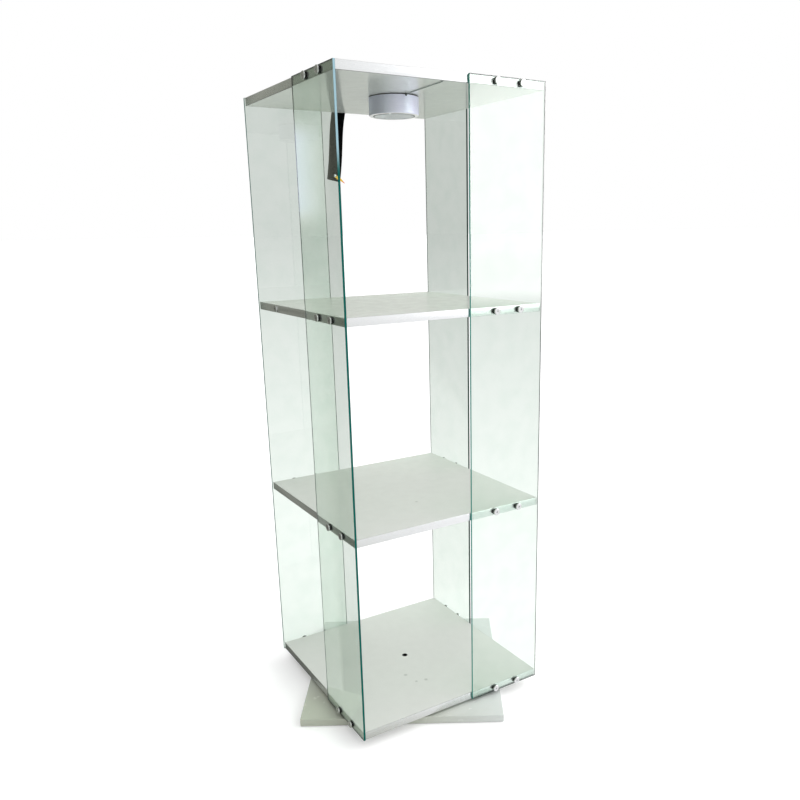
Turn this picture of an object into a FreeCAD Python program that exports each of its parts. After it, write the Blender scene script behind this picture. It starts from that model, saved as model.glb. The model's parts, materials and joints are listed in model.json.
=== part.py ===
import FreeCAD, Part

import math
import os

import Sketcher

# A revolving display cabinet, in millimetres, +Z up. Four square boards stand one above
# another on the ends of four tall glass panels, one panel on each side. Each panel starts at
# one corner and covers less than half of its side, so all four go round like a pinwheel and
# leave the rest of every side open. The cabinet turns on a ball-bearing ring above a square
# base board. The origin is on the axis of turning, on the floor.

# ---------------------------------------------------------------------------------------------
# Driving dimensions: name, value in millimetres or degrees, what it is.
# ---------------------------------------------------------------------------------------------

SIZES = [
    ("board_side", 600, "outer side of each square board, edging included"),
    ("board_thick", 22, "thickness of each board of the cabinet"),
    ("clear_height", 554, "free height between one board and the next"),
    ("edging_thick", 1, "thickness of the metal edging on the boards"),
    ("edging_joint", 0.1, "gap where two strips of edging meet at a corner"),
    ("liner_diameter", 18, "outer diameter of the liner in the bottom shelf's hole"),
    ("liner_wall", 1.5, "wall of that liner"),
    ("base_side", 600, "side of the square base board"),
    ("base_thick", 22, "thickness of the base board"),
    ("base_turn_angle", 58.5, "turn of the base board from the cabinet at rest"),
    ("base_bevel", 0.8, "bevel on the base board's edges"),
    ("glide_diameter", 28, "diameter of each glide under the base board"),
    ("glide_thick", 2, "thickness of each glide"),
    ("glide_inset", 48, "distance of a glide's centre from the base board's edges"),
    ("race_radius", 98, "radius of the circle of ball centres"),
    ("ring_gap", 3, "radial gap between the bearing's two rings"),
    ("ring_width", 20, "radial width of each ring"),
    ("ring_relief", 1, "gap from each ring to the board that it does not carry"),
    ("ball_diameter", 5, "diameter of a bearing ball"),
    ("ball_count", 32, "number of bearing balls"),
    ("race_clearance", 0.2, "clearance of a ball in the grooves of the rings"),
    ("cage_clearance", 0.4, "clearance of the ball cage from each ring"),
    ("cage_web", 1, "height of the ball cage above and below its balls"),
    ("cage_relief", 0.5, "gap from the ball cage to each board"),
    ("pocket_clearance", 0.1, "clearance of a ball in its pocket"),
    ("ring_screw_diameter", 4, "thread of the screws that hold the rings"),
    ("ring_screw_head", 8, "head of those screws"),
    ("ring_screw_length", 16, "length of those screws, head included"),
    ("ring_screw_count", 6, "number of screws in each ring"),
    ("screw_clearance", 0.1, "clearance round a screw, a plug or an insert in its hole"),
    ("drill_depth", 1, "depth of a blind hole beyond what it holds"),
    ("glass_thick", 6, "thickness of the glass panels"),
    ("glass_width", 242, "width of each glass panel"),
    ("glass_overhang", 3, "how far a panel stands out past the boards' corner"),
    ("glass_arris", 0.6, "ground bevel on the glass edges"),
    ("fixing_from_corner", 75, "distance of the outer bolt from the boards' corner"),
    ("fixing_pitch", 80, "distance between the two bolts of a panel on one board"),
    ("cap_diameter", 20, "diameter of a bolt's round cap"),
    ("cap_height", 3.5, "height of a bolt's cap"),
    ("cap_chamfer", 1.5, "chamfer on a bolt's cap"),
    ("socket_width", 5, "width across flats of the hexagon socket in a cap"),
    ("socket_depth", 2.5, "depth of that socket"),
    ("bolt_diameter", 6, "thread of the cap bolts"),
    ("bolt_length", 24, "length of a bolt under its cap"),
    ("sleeve_wall", 1.7, "wall of the sleeve round a bolt in the glass"),
    ("sleeve_clearance", 0.2, "clearance of a sleeve in the glass"),
    ("flange_thick", 3.5, "thickness of a sleeve's flange, a spacer between cap and glass"),
    ("flange_setback", 0.5, "how far that flange stays inside the cap's edge"),
    ("insert_wall", 1.9, "wall of a threaded insert"),
    ("insert_length", 16, "length of a threaded insert"),
    ("bolt_clearance", 0.5, "clearance round a bolt in the edging"),
    ("spare_from_corner", 130, "distance of the lone bolt from the back left corner"),
    ("lamp_forward", 30, "distance of the lamp's axis in front of the cabinet's"),
    ("lamp_diameter", 136, "outer diameter of the lamp"),
    ("lamp_height", 46, "height of the lamp's housing"),
    ("lamp_gap", 2.5, "shadow gap between the housing and the top board"),
    ("lamp_wall", 2.5, "wall of the housing"),
    ("rim_width", 13, "width of the rim round the lens"),
    ("rim_thick", 3, "thickness of that rim"),
    ("rim_round", 2.5, "rounding of the housing's lower edge"),
    ("lamp_clearance", 0.3, "clearance between the lamp's inner pieces"),
    ("plate_thick", 2.5, "thickness of the lamp's mounting plate"),
    ("lens_seat", 4, "how far the rim reaches under the lens"),
    ("lens_thick", 3, "thickness of the lens"),
    ("gasket_height", 4.5, "height of the gasket round the lens"),
    ("holder_diameter", 30, "diameter of the bulb holder"),
    ("reflector_wall", 1.2, "wall of the reflector at its neck"),
    ("bulb_diameter", 14, "diameter of the bulb"),
    ("bulb_length", 9, "length of the bulb's straight part"),
    ("bulb_gap", 4, "gap between the bulb and the lens"),
    ("lamp_screw_diameter", 4, "thread of the lamp's mounting screws"),
    ("lamp_screw_head", 8, "head of those screws"),
    ("lamp_screw_length", 14, "length of those screws, head included"),
    ("lamp_screw_inset", 22, "distance of those screws from the plate's edge"),
    ("lamp_screw_count", 3, "number of those screws"),
    ("lead_diameter", 2, "diameter of the lamp's lead"),
    ("lead_clearance", 0.4, "clearance round the lead"),
    ("lead_level", 4, "level length of the lead outside the lamp"),
    ("lead_rise", 14, "length over which the lead rises to the top board's underside"),
    ("lead_tail", 10, "depth to which the lead's end enters the top board"),
    ("lead_inset", 4, "distance of the lead's end from the edging"),
    ("lead_drift", 9, "distance of the lead's end to the left of the middle"),
    ("strap_gap", 8.2, "gap from the strap's lower corner to the back panel's edge"),
    ("strap_width", 40, "width of the strap"),
    ("strap_thick", 2, "thickness of the strap"),
    ("strap_drop", 200, "length of the strap below the top board's underside"),
    ("strap_rise", 8, "length of the strap above its screw"),
    ("strap_lean_angle", 7.5, "lean of the strap from the vertical"),
    ("strap_screw_diameter", 4, "thread of the strap's screw"),
    ("strap_screw_head", 8, "head of that screw"),
    ("strap_head_thick", 3, "height of that head"),
    ("strap_screw_length", 16, "length of that screw under its head"),
    ("washer_diameter", 14, "diameter of the strap's washer"),
    ("washer_thick", 1, "thickness of that washer"),
    ("rivet_diameter", 3.5, "shank of the rivet in the strap's lower end"),
    ("rivet_head", 9, "head of that rivet"),
    ("rivet_head_thick", 0.8, "height of that head"),
    ("rivet_across", 4, "distance of the rivet to the right of the strap's middle"),
    ("rivet_above_end", 16, "distance of the rivet from the strap's lower end"),
    ("tag_length", 37, "length of the tag from the rivet to its far end"),
    ("tag_width", 9, "width of the tag"),
    ("tag_thick", 1, "thickness of the tag"),
    ("tag_slope_angle", 31, "slope of the tag below the strap's own width"),
]

# The cabinet's boards from the floor up, and the turn that takes the front side, which faces
# -Y, to each of the four sides.
BOARDS = ["bottom_shelf", "lower_shelf", "upper_shelf", "top"]
SIDES = {"front": 0, "right": 90, "back": 180, "left": 270}
SIDE_COUNT = len(SIDES)
COMPARTMENTS = len(BOARDS) - 1
UPPER_SHELF = BOARDS.index("upper_shelf")
TOP = BOARDS.index("top")

# Levels and places worked out from the sheet's cells.
HALF_SIDE = "(sizes.board_side / 2)"
CORE_HALF = "(sizes.board_side / 2 - sizes.edging_thick)"
BASE_TOP = "(sizes.glide_thick + sizes.base_thick)"
TURNTABLE_HEIGHT = "(sizes.ball_diameter + 2 * sizes.cage_web + 2 * sizes.cage_relief)"
CABINET_LOW = f"({BASE_TOP} + {TURNTABLE_HEIGHT})"
BOARD_STEP = "(sizes.board_thick + sizes.clear_height)"
TOP_UNDERSIDE = f"({CABINET_LOW} + {COMPARTMENTS} * {BOARD_STEP})"
GLASS_HEIGHT = f"({COMPARTMENTS} * {BOARD_STEP} + sizes.board_thick)"
GLASS_FACE = f"({HALF_SIDE} + sizes.glass_thick)"
CAP_SEAT = f"({GLASS_FACE} + sizes.flange_thick)"
FIRST_BOLT = f"({HALF_SIDE} - sizes.fixing_from_corner)"
BOARD_MIDDLE = "(sizes.board_thick / 2)"

# Diameters and depths of the holes that hold the bolts, their sleeves and their inserts.
BOLT_BORE = "(sizes.bolt_diameter + 2 * sizes.screw_clearance)"
SLEEVE_DIAMETER = f"({BOLT_BORE} + 2 * sizes.sleeve_wall)"
INSERT_DIAMETER = f"({BOLT_BORE} + 2 * sizes.insert_wall)"
INSERT_HOLE = f"({INSERT_DIAMETER} + 2 * sizes.screw_clearance)"
EDGING_HOLE = "(sizes.bolt_diameter + 2 * sizes.bolt_clearance)"
BOLT_REACH = "(sizes.bolt_length - sizes.flange_thick - sizes.glass_thick - sizes.edging_thick)"
SPARE_REACH = "(sizes.bolt_length - sizes.edging_thick)"
STRAP_SCREW_HOLE = "(sizes.strap_screw_diameter + 2 * sizes.screw_clearance)"

FULL_TURN = 360
UP = FreeCAD.Vector(0, 0, 1)
SIDEWAYS = FreeCAD.Vector(0, 1, 0)

doc = FreeCAD.newDocument("display_cabinet")


# ---------------------------------------------------------------------------------------------
# The sheet, and short ways of making bodies, sketches and features
# ---------------------------------------------------------------------------------------------


def make_sheet():
    """Writes every driving dimension into a spreadsheet cell with an alias."""
    sheet = doc.addObject("Spreadsheet::Sheet", "sizes")
    for row, (name, value, meaning) in enumerate(SIZES, start=1):
        sheet.set(f"A{row}", name)
        sheet.set(f"B{row}", str(value))
        sheet.set(f"C{row}", meaning)
        sheet.setAlias(f"B{row}", name)
    doc.recompute()
    return sheet


def make_body(name):
    """A new body whose label is its node's name."""
    body = doc.addObject("PartDesign::Body", name)
    body.Label = name
    return body


def origin_feature(body, role):
    """One of a body's own origin planes or axes."""
    found = [item for item in body.Origin.OriginFeatures if item.Role == role]
    return found[0]


def make_sketch(body, name, plane, at):
    """An empty sketch on one of the body's origin planes, moved by expressions along its axes."""
    sketch = body.newObject("Sketcher::SketchObject", name)
    sketch.AttachmentSupport = [(origin_feature(body, plane), "")]
    sketch.MapMode = "FlatFace"
    for axis, distance in at.items():
        sketch.setExpression(f"AttachmentOffset.Base.{axis}", distance)
    return sketch


def polygon(body, name, plane, points, **at):
    """A sketch of one closed polygon, each corner held to its two expressions."""
    sketch = make_sketch(body, name, plane, at)
    count = len(points)
    angles = [2 * math.pi * index / count for index in range(count)]
    circle = [FreeCAD.Vector(math.cos(angle), math.sin(angle), 0) for angle in angles]
    for index in range(count):
        sketch.addGeometry(Part.LineSegment(circle[index], circle[(index + 1) % count]))
    for index in range(count):
        joined = Sketcher.Constraint("Coincident", index, 2, (index + 1) % count, 1)
        sketch.addConstraint(joined)
    for index, corner in enumerate(points):
        for kind, distance in zip(("DistanceX", "DistanceY"), corner):
            held = sketch.addConstraint(Sketcher.Constraint(kind, -1, 1, index, 1, 1.0))
            sketch.setExpression(f"Constraints[{held}]", distance)
    return sketch


def rectangle(body, name, plane, low, high, **at):
    """A sketch of one rectangle from its low corner to its high corner."""
    corners = [low, (high[0], low[1]), high, (low[0], high[1])]
    return polygon(body, name, plane, corners, **at)


def disc(body, name, plane, diameter, **at):
    """A sketch of one circle round the sketch's own origin."""
    sketch = make_sketch(body, name, plane, at)
    sketch.addGeometry(Part.Circle(FreeCAD.Vector(), UP, 1))
    sketch.addConstraint(Sketcher.Constraint("Coincident", 0, 3, -1, 1))
    held = sketch.addConstraint(Sketcher.Constraint("Diameter", 0, 2.0))
    sketch.setExpression(f"Constraints[{held}]", diameter)
    return sketch


def extrude(body, kind, name, sketch, length, backwards=False):
    """A pad, or a pocket, of a sketch. A pad follows the plane's normal and a pocket goes against it."""
    feature = body.newObject(f"PartDesign::{kind}", name)
    feature.Profile = sketch
    feature.Reversed = backwards
    feature.setExpression("Length", length)
    sketch.Visibility = False
    body.Tip = feature
    return feature


def turn(body, kind, name, sketch):
    """A revolution, or a groove, of a sketch about the sketch's own vertical axis."""
    feature = body.newObject(f"PartDesign::{kind}", name)
    feature.Profile = sketch
    feature.ReferenceAxis = (sketch, ["V_Axis"])
    feature.Angle = FULL_TURN
    sketch.Visibility = False
    body.Tip = feature
    return feature


def along(body, name, axis, length, count, backwards=False):
    """One straight step of a pattern: copies from one end of a length to the other."""
    step = body.newObject("PartDesign::LinearPattern", name)
    step.Direction = (origin_feature(body, axis), [""])
    step.Reversed = backwards
    step.Occurrences = count
    step.setExpression("Length", length)
    return step


def around(body, name, count, centre=None):
    """One turning step of a pattern: copies evenly round the vertical axis, or round the normal
    of a sketch that marks another centre."""
    step = body.newObject("PartDesign::PolarPattern", name)
    step.Axis = (centre, ["N_Axis"]) if centre else (origin_feature(body, "Z_Axis"), [""])
    step.Angle = FULL_TURN
    if isinstance(count, int):
        step.Occurrences = count
    else:
        step.setExpression("Occurrences", count)
    return step


def repeat(body, name, features, steps):
    """Repeats features by all the steps together and makes that the body's result."""
    pattern = body.newObject("PartDesign::MultiTransform", name)
    pattern.Originals = features
    pattern.Transformations = steps
    body.Tip = pattern
    return pattern


def bevel_all(body, name, feature, width):
    """A bevel on every edge of a feature."""
    bevel = body.newObject("PartDesign::Chamfer", name)
    bevel.Base = (feature, [""])
    bevel.UseAllEdges = True
    bevel.setExpression("Size", width)
    body.Tip = bevel
    return bevel


def lowest_widest_edge(shape):
    """The name of the widest round edge on a turned shape's underside."""
    edges = [(edge.BoundBox, index) for index, edge in enumerate(shape.Edges, start=1)]
    rounds = [(box, index) for box, index in edges if box.ZLength < box.XLength]
    places = [(round(box.ZMin, 3), -box.XLength, index) for box, index in rounds]
    return f"Edge{min(places)[-1]}"


def raise_to(body, level):
    """Lifts a body to a level."""
    body.setExpression("Placement.Base.z", level)


def hang_at_lamp(body, depth="0"):
    """Puts a body on the lamp's axis, at a depth below the top board."""
    body.setExpression("Placement.Base.y", "-sizes.lamp_forward")
    body.setExpression("Placement.Base.z", f"{TOP_UNDERSIDE} - {depth}")


def face_side(body, side):
    """Turns a body that was made for the front side to another side, and lifts it to the cabinet."""
    turned = FreeCAD.Rotation(UP, SIDES[side])
    body.Placement = FreeCAD.Placement(FreeCAD.Vector(), turned)
    raise_to(body, CABINET_LOW)


def turn_with_base(body):
    """Turns a body with the base board."""
    body.Placement = FreeCAD.Placement(FreeCAD.Vector(), FreeCAD.Rotation(UP, 1))
    body.setExpression("Placement.Rotation.Angle", "sizes.base_turn_angle")


# ---------------------------------------------------------------------------------------------
# Base board and glides
# ---------------------------------------------------------------------------------------------


def make_base_board():
    """The square board on the floor, with pilot holes for the lower ring's screws."""
    body = make_body("base_board")
    half = "sizes.base_side / 2"
    square = rectangle(
        body, "base_square", "XY_Plane", (f"-{half}", f"-{half}"), (half, half), z="sizes.glide_thick"
    )
    slab = extrude(body, "Pad", "base_slab", square, "sizes.base_thick")
    bevel_all(body, "base_edges", slab, "sizes.base_bevel")
    pilot = disc(
        body,
        "base_pilot",
        "XY_Plane",
        "sizes.ring_screw_diameter + 2 * sizes.screw_clearance",
        x=OUTER_SCREW_RADIUS,
        z=BASE_TOP,
    )
    hole = extrude(body, "Pocket", "base_hole", pilot, RING_SCREW_HOLE)
    repeat(body, "base_holes", [hole], [around(body, "base_hole_ring", "sizes.ring_screw_count")])
    turn_with_base(body)
    return body


def make_base_glides():
    """Four round glides under the base board's corners."""
    body = make_body("base_glides")
    corner = "sizes.base_side / 2 - sizes.glide_inset"
    outline = disc(body, "glide_outline", "XY_Plane", "sizes.glide_diameter", x=corner, y=corner)
    glide = extrude(body, "Pad", "glide", outline, "sizes.glide_thick")
    repeat(body, "glides", [glide], [around(body, "glide_ring", SIDE_COUNT)])
    turn_with_base(body)
    return body


# ---------------------------------------------------------------------------------------------
# Turntable: two rings, a ball cage and its balls
# ---------------------------------------------------------------------------------------------

RACE_LEVEL = f"({BASE_TOP} + {TURNTABLE_HEIGHT} / 2)"
OUTER_RING_LOW = "(sizes.race_radius + sizes.ring_gap / 2)"
INNER_RING_HIGH = "(sizes.race_radius - sizes.ring_gap / 2)"
OUTER_SCREW_RADIUS = f"({OUTER_RING_LOW} + sizes.ring_width / 2)"
INNER_SCREW_RADIUS = f"({INNER_RING_HIGH} - sizes.ring_width / 2)"
OUTER_RING_TOP = f"({CABINET_LOW} - sizes.ring_relief)"
INNER_RING_UNDERSIDE = f"({BASE_TOP} + sizes.ring_relief)"
RING_HEIGHT = f"({TURNTABLE_HEIGHT} - sizes.ring_relief)"
RING_SCREW_HOLE = f"(sizes.ring_screw_length - {RING_HEIGHT} + sizes.drill_depth)"


def screw_outline(body, name, radius, head, length, upright, growth, **at):
    """Half of a countersunk screw round the sketch's vertical axis, with its flat head at the
    sketch's origin. Upright, the screw points down; growth widens it to make its hole."""
    sign = "-" if upright else ""
    shank = f"({radius} + {growth})"
    top = f"({head} + {growth})"
    points = [
        ("0", "0"),
        (top, "0"),
        (shank, f"{sign}({head} - {radius})"),
        (shank, f"{sign}{length}"),
        ("0", f"{sign}{length}"),
    ]
    return polygon(body, name, "XZ_Plane", points, **at)


def make_ring(name, low, high, bottom, top, screw_radius, screw_level, upright):
    """One ring of the turntable, with its half of the ball groove and its countersunk holes."""
    body = make_body(name)
    section = rectangle(body, f"{name}_section", "XZ_Plane", (low, bottom), (high, top))
    turn(body, "Revolution", f"{name}_blank", section)
    groove = disc(
        body,
        f"{name}_groove_section",
        "XZ_Plane",
        "sizes.ball_diameter + 2 * sizes.race_clearance",
        x="sizes.race_radius",
        y=RACE_LEVEL,
    )
    cut = body.newObject("PartDesign::Groove", f"{name}_groove")
    cut.Profile = groove
    cut.ReferenceAxis = (origin_feature(body, "Z_Axis"), [""])
    cut.Angle = FULL_TURN
    body.Tip = cut
    sink = screw_outline(
        body,
        f"{name}_hole_section",
        "sizes.ring_screw_diameter / 2",
        "sizes.ring_screw_head / 2",
        "sizes.ring_screw_length",
        upright,
        "sizes.screw_clearance",
        x=screw_radius,
        y=screw_level,
    )
    hole = turn(body, "Groove", f"{name}_hole", sink)
    step = around(body, f"{name}_hole_ring", "sizes.ring_screw_count")
    repeat(body, f"{name}_holes", [hole], [step])
    return body


def make_ring_screws(name, screw_radius, screw_level, upright):
    """The countersunk screws of one ring, flush with its face."""
    body = make_body(name)
    outline = screw_outline(
        body,
        f"{name}_section",
        "sizes.ring_screw_diameter / 2",
        "sizes.ring_screw_head / 2",
        "sizes.ring_screw_length",
        upright,
        "0",
        x=screw_radius,
        y=screw_level,
    )
    screw = turn(body, "Revolution", f"{name}_turned", outline)
    step = around(body, f"{name}_ring", "sizes.ring_screw_count")
    repeat(body, f"{name}_all", [screw], [step])
    return body


def make_turntable():
    """The outer ring on the base board and the inner ring under the bottom shelf."""
    outer_high = f"({OUTER_RING_LOW} + sizes.ring_width)"
    inner_low = f"({INNER_RING_HIGH} - sizes.ring_width)"
    outer_ring = make_ring(
        "turntable_outer_ring",
        OUTER_RING_LOW,
        outer_high,
        BASE_TOP,
        OUTER_RING_TOP,
        OUTER_SCREW_RADIUS,
        OUTER_RING_TOP,
        upright=True,
    )
    outer_screws = make_ring_screws(
        "outer_ring_screws", OUTER_SCREW_RADIUS, OUTER_RING_TOP, upright=True
    )
    turn_with_base(outer_ring)
    turn_with_base(outer_screws)
    inner_ring = make_ring(
        "turntable_inner_ring",
        inner_low,
        INNER_RING_HIGH,
        INNER_RING_UNDERSIDE,
        CABINET_LOW,
        INNER_SCREW_RADIUS,
        INNER_RING_UNDERSIDE,
        upright=False,
    )
    inner_screws = make_ring_screws(
        "inner_ring_screws", INNER_SCREW_RADIUS, INNER_RING_UNDERSIDE, upright=False
    )
    return [outer_ring, outer_screws, inner_ring, inner_screws]


def make_ball_cage():
    """The thin ring that keeps the balls apart, with a pocket for each ball."""
    body = make_body("ball_cage")
    half_wall = "(sizes.ring_gap / 2 - sizes.cage_clearance)"
    half_height = "(sizes.ball_diameter / 2 + sizes.cage_web)"
    section = rectangle(
        body,
        "cage_section",
        "XZ_Plane",
        (f"-{half_wall}", f"-{half_height}"),
        (half_wall, half_height),
        x="sizes.race_radius",
        y=RACE_LEVEL,
    )
    blank = body.newObject("PartDesign::Revolution", "cage_blank")
    blank.Profile = section
    blank.ReferenceAxis = (origin_feature(body, "Z_Axis"), [""])
    blank.Angle = FULL_TURN
    body.Tip = blank
    pocket_outline = disc(
        body,
        "pocket_outline",
        "XZ_Plane",
        "sizes.ball_diameter + 2 * sizes.pocket_clearance",
        y=RACE_LEVEL,
        z="sizes.race_radius + sizes.ring_gap",
    )
    pocket = extrude(body, "Pocket", "cage_pocket", pocket_outline, "2 * sizes.ring_gap")
    repeat(body, "cage_pockets", [pocket], [around(body, "pocket_ring", "sizes.ball_count")])
    return body


def make_bearing_balls():
    """The balls, each in its pocket of the cage."""
    body = make_body("bearing_balls")
    ball = body.newObject("PartDesign::AdditiveSphere", "ball")
    ball.AttachmentSupport = [(origin_feature(body, "XZ_Plane"), "")]
    ball.MapMode = "FlatFace"
    ball.setExpression("AttachmentOffset.Base.y", RACE_LEVEL)
    ball.setExpression("AttachmentOffset.Base.z", "sizes.race_radius")
    ball.setExpression("Radius", "sizes.ball_diameter / 2")
    body.Tip = ball
    repeat(body, "balls", [ball], [around(body, "ball_ring", "sizes.ball_count")])
    return body


# ---------------------------------------------------------------------------------------------
# Boards and their edging
# ---------------------------------------------------------------------------------------------


def board_level(board):
    """The level of a board's underside."""
    return f"{CABINET_LOW} + {board} * {BOARD_STEP}"


def bolt_pair(body, name):
    """The step from the outer bolt of a panel to the inner one, on the same board."""
    return along(body, name, "X_Axis", "sizes.fixing_pitch", 2, backwards=True)


def side_hole(body, name, diameter, depth, face, x=FIRST_BOLT):
    """A round hole from the front face of a board into it, half-way up its thickness."""
    outline = disc(body, f"{name}_outline", "XZ_Plane", diameter, x=x, y=BOARD_MIDDLE, z=face)
    return extrude(body, "Pocket", name, outline, depth)


def make_board(board):
    """The core of one board, with the holes of its threaded inserts in all four edges."""
    name = BOARDS[board]
    body = make_body(f"{name}_board")
    square = rectangle(
        body,
        f"{name}_square",
        "XY_Plane",
        (f"-{CORE_HALF}", f"-{CORE_HALF}"),
        (CORE_HALF, CORE_HALF),
    )
    extrude(body, "Pad", f"{name}_slab", square, "sizes.board_thick")
    hole = side_hole(
        body,
        f"{name}_insert_hole",
        INSERT_HOLE,
        f"max(sizes.insert_length; {BOLT_REACH}) + sizes.drill_depth",
        CORE_HALF,
    )
    steps = [
        bolt_pair(body, f"{name}_insert_pair"),
        around(body, f"{name}_insert_ring", SIDE_COUNT),
    ]
    repeat(body, f"{name}_insert_holes", [hole], steps)
    raise_to(body, board_level(board))
    return body


def drill_liner_hole(body):
    """The hole through the middle of the bottom shelf."""
    outline = disc(
        body,
        "liner_hole_outline",
        "XY_Plane",
        "sizes.liner_diameter + 2 * sizes.screw_clearance",
        z="sizes.board_thick",
    )
    extrude(body, "Pocket", "liner_hole", outline, "sizes.board_thick")


def drill_ring_holes(body):
    """Pilot holes for the inner ring's screws, in the bottom shelf's underside."""
    outline = disc(
        body,
        "ring_hole_outline",
        "XY_Plane",
        "sizes.ring_screw_diameter + 2 * sizes.screw_clearance",
        x=INNER_SCREW_RADIUS,
    )
    hole = extrude(body, "Pocket", "ring_hole", outline, RING_SCREW_HOLE, backwards=True)
    repeat(body, "ring_holes", [hole], [around(body, "ring_hole_ring", "sizes.ring_screw_count")])


def drill_spare_hole(body):
    """The hole of the lone bolt and its insert, in the upper shelf's left edge. It is deeper
    than the others, as this bolt has no glass under its cap."""
    outline = disc(
        body,
        "spare_hole_outline",
        "YZ_Plane",
        INSERT_HOLE,
        x=SPARE_PLACE,
        y=BOARD_MIDDLE,
        z=f"-{CORE_HALF}",
    )
    depth = f"max(sizes.insert_length; {SPARE_REACH}) + sizes.drill_depth"
    extrude(body, "Pocket", "spare_hole", outline, depth, backwards=True)


def drill_lamp_holes(body):
    """Pilot holes for the lamp's screws and a slot for its lead, in the top board's underside."""
    lamp_centre = make_sketch(body, "lamp_centre", "XY_Plane", {"y": "-sizes.lamp_forward"})
    outline = disc(
        body,
        "lamp_hole_outline",
        "XY_Plane",
        "sizes.lamp_screw_diameter + 2 * sizes.screw_clearance",
        x=LAMP_SCREW_RADIUS,
        y="-sizes.lamp_forward",
    )
    depth = "sizes.lamp_screw_length - sizes.plate_thick + sizes.drill_depth"
    hole = extrude(body, "Pocket", "lamp_hole", outline, depth, backwards=True)
    step = around(body, "lamp_hole_ring", "sizes.lamp_screw_count", lamp_centre)
    repeat(body, "lamp_holes", [hole], [step])
    half_slot = "(sizes.lead_diameter / 2 + sizes.lead_clearance)"
    slot_outline = rectangle(
        body,
        "lead_slot_outline",
        "XY_Plane",
        (f"-{half_slot}", f"-{half_slot}"),
        (half_slot, f"({half_slot} + sizes.lead_tail)"),
        x="-sizes.lead_drift",
        y=LEAD_END,
    )
    slot_depth = "sizes.lead_tail + sizes.drill_depth"
    extrude(body, "Pocket", "lead_slot", slot_outline, slot_depth, backwards=True)


def drill_strap_hole(body, name, diameter, depth, face):
    """The hole of the strap's screw, in the back edge of the top board or of its edging."""
    outline = disc(
        body,
        f"{name}_outline",
        "XZ_Plane",
        diameter,
        x=STRAP_PLACE,
        y=BOARD_MIDDLE,
        z=f"-{face}",
    )
    extrude(body, "Pocket", name, outline, depth, backwards=True)


def make_boards():
    """All four boards of the cabinet."""
    boards = [make_board(board) for board in range(len(BOARDS))]
    drill_liner_hole(boards[0])
    drill_ring_holes(boards[0])
    drill_spare_hole(boards[UPPER_SHELF])
    drill_lamp_holes(boards[TOP])
    drill_strap_hole(
        boards[TOP],
        "strap_pilot",
        STRAP_SCREW_HOLE,
        "sizes.strap_screw_length - sizes.strap_thick - sizes.washer_thick",
        CORE_HALF,
    )
    return boards


def make_edging(board):
    """The four strips of edging on one board. Each runs from one corner up to the next strip."""
    name = BOARDS[board]
    body = make_body(f"{name}_edging")
    outline = rectangle(
        body,
        f"{name}_strip_outline",
        "XZ_Plane",
        (f"-{HALF_SIDE}", "0"),
        (f"{HALF_SIDE} - sizes.edging_thick - sizes.edging_joint", "sizes.board_thick"),
        z=HALF_SIDE,
    )
    strip = extrude(
        body, "Pad", f"{name}_strip", outline, "sizes.edging_thick", backwards=True
    )
    repeat(body, f"{name}_strips", [strip], [around(body, f"{name}_strip_ring", SIDE_COUNT)])
    hole = side_hole(body, f"{name}_bolt_hole", EDGING_HOLE, "sizes.edging_thick", HALF_SIDE)
    steps = [
        bolt_pair(body, f"{name}_bolt_pair"),
        around(body, f"{name}_bolt_ring", SIDE_COUNT),
    ]
    repeat(body, f"{name}_bolt_holes", [hole], steps)
    raise_to(body, board_level(board))
    return body


def make_edgings():
    """The edging of all four boards, with the extra holes of the lone bolt and the strap."""
    edgings = [make_edging(board) for board in range(len(BOARDS))]
    spare_outline = disc(
        edgings[UPPER_SHELF],
        "spare_edging_outline",
        "YZ_Plane",
        EDGING_HOLE,
        x=SPARE_PLACE,
        y=BOARD_MIDDLE,
        z=f"-{HALF_SIDE}",
    )
    extrude(
        edgings[UPPER_SHELF],
        "Pocket",
        "spare_edging_hole",
        spare_outline,
        "sizes.edging_thick",
        backwards=True,
    )
    drill_strap_hole(
        edgings[TOP],
        "strap_edging_hole",
        STRAP_SCREW_HOLE,
        "sizes.edging_thick",
        HALF_SIDE,
    )
    return edgings


def make_hole_liner():
    """The plastic tube that lines the bottom shelf's hole, flush with both faces."""
    body = make_body("hole_liner")
    outer = "sizes.liner_diameter / 2"
    inner = f"{outer} - sizes.liner_wall"
    section = rectangle(body, "liner_section", "XZ_Plane", (inner, "0"), (outer, "sizes.board_thick"))
    turn(body, "Revolution", "liner_tube", section)
    raise_to(body, CABINET_LOW)
    return body


# ---------------------------------------------------------------------------------------------
# Glass panels and their fixings. Each is made for the front side and turned to its own side.
# ---------------------------------------------------------------------------------------------

SPARE_PLACE = f"({HALF_SIDE} - sizes.spare_from_corner)"


def bolt_grid(body, name):
    """The steps from one fixing to all eight of a panel: two across, one pair on each board."""
    return [
        bolt_pair(body, f"{name}_across"),
        along(body, f"{name}_up", "Z_Axis", f"{COMPARTMENTS} * {BOARD_STEP}", len(BOARDS)),
    ]


def make_glass_panel(side):
    """One tall glass panel with ground edges and a hole for each bolt."""
    body = make_body(f"{side}_glass_panel")
    outer_edge = f"({HALF_SIDE} + sizes.glass_overhang)"
    outline = rectangle(
        body,
        f"{side}_glass_outline",
        "XZ_Plane",
        (f"({outer_edge} - sizes.glass_width)", "0"),
        (outer_edge, GLASS_HEIGHT),
        z=HALF_SIDE,
    )
    sheet_of_glass = extrude(body, "Pad", f"{side}_glass_sheet", outline, "sizes.glass_thick")
    bevel_all(body, f"{side}_glass_arris", sheet_of_glass, "sizes.glass_arris")
    hole = side_hole(
        body,
        f"{side}_glass_hole",
        f"{SLEEVE_DIAMETER} + 2 * sizes.sleeve_clearance",
        "sizes.glass_thick",
        GLASS_FACE,
    )
    repeat(body, f"{side}_glass_holes", [hole], bolt_grid(body, f"{side}_glass_hole"))
    face_side(body, side)
    return body


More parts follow.
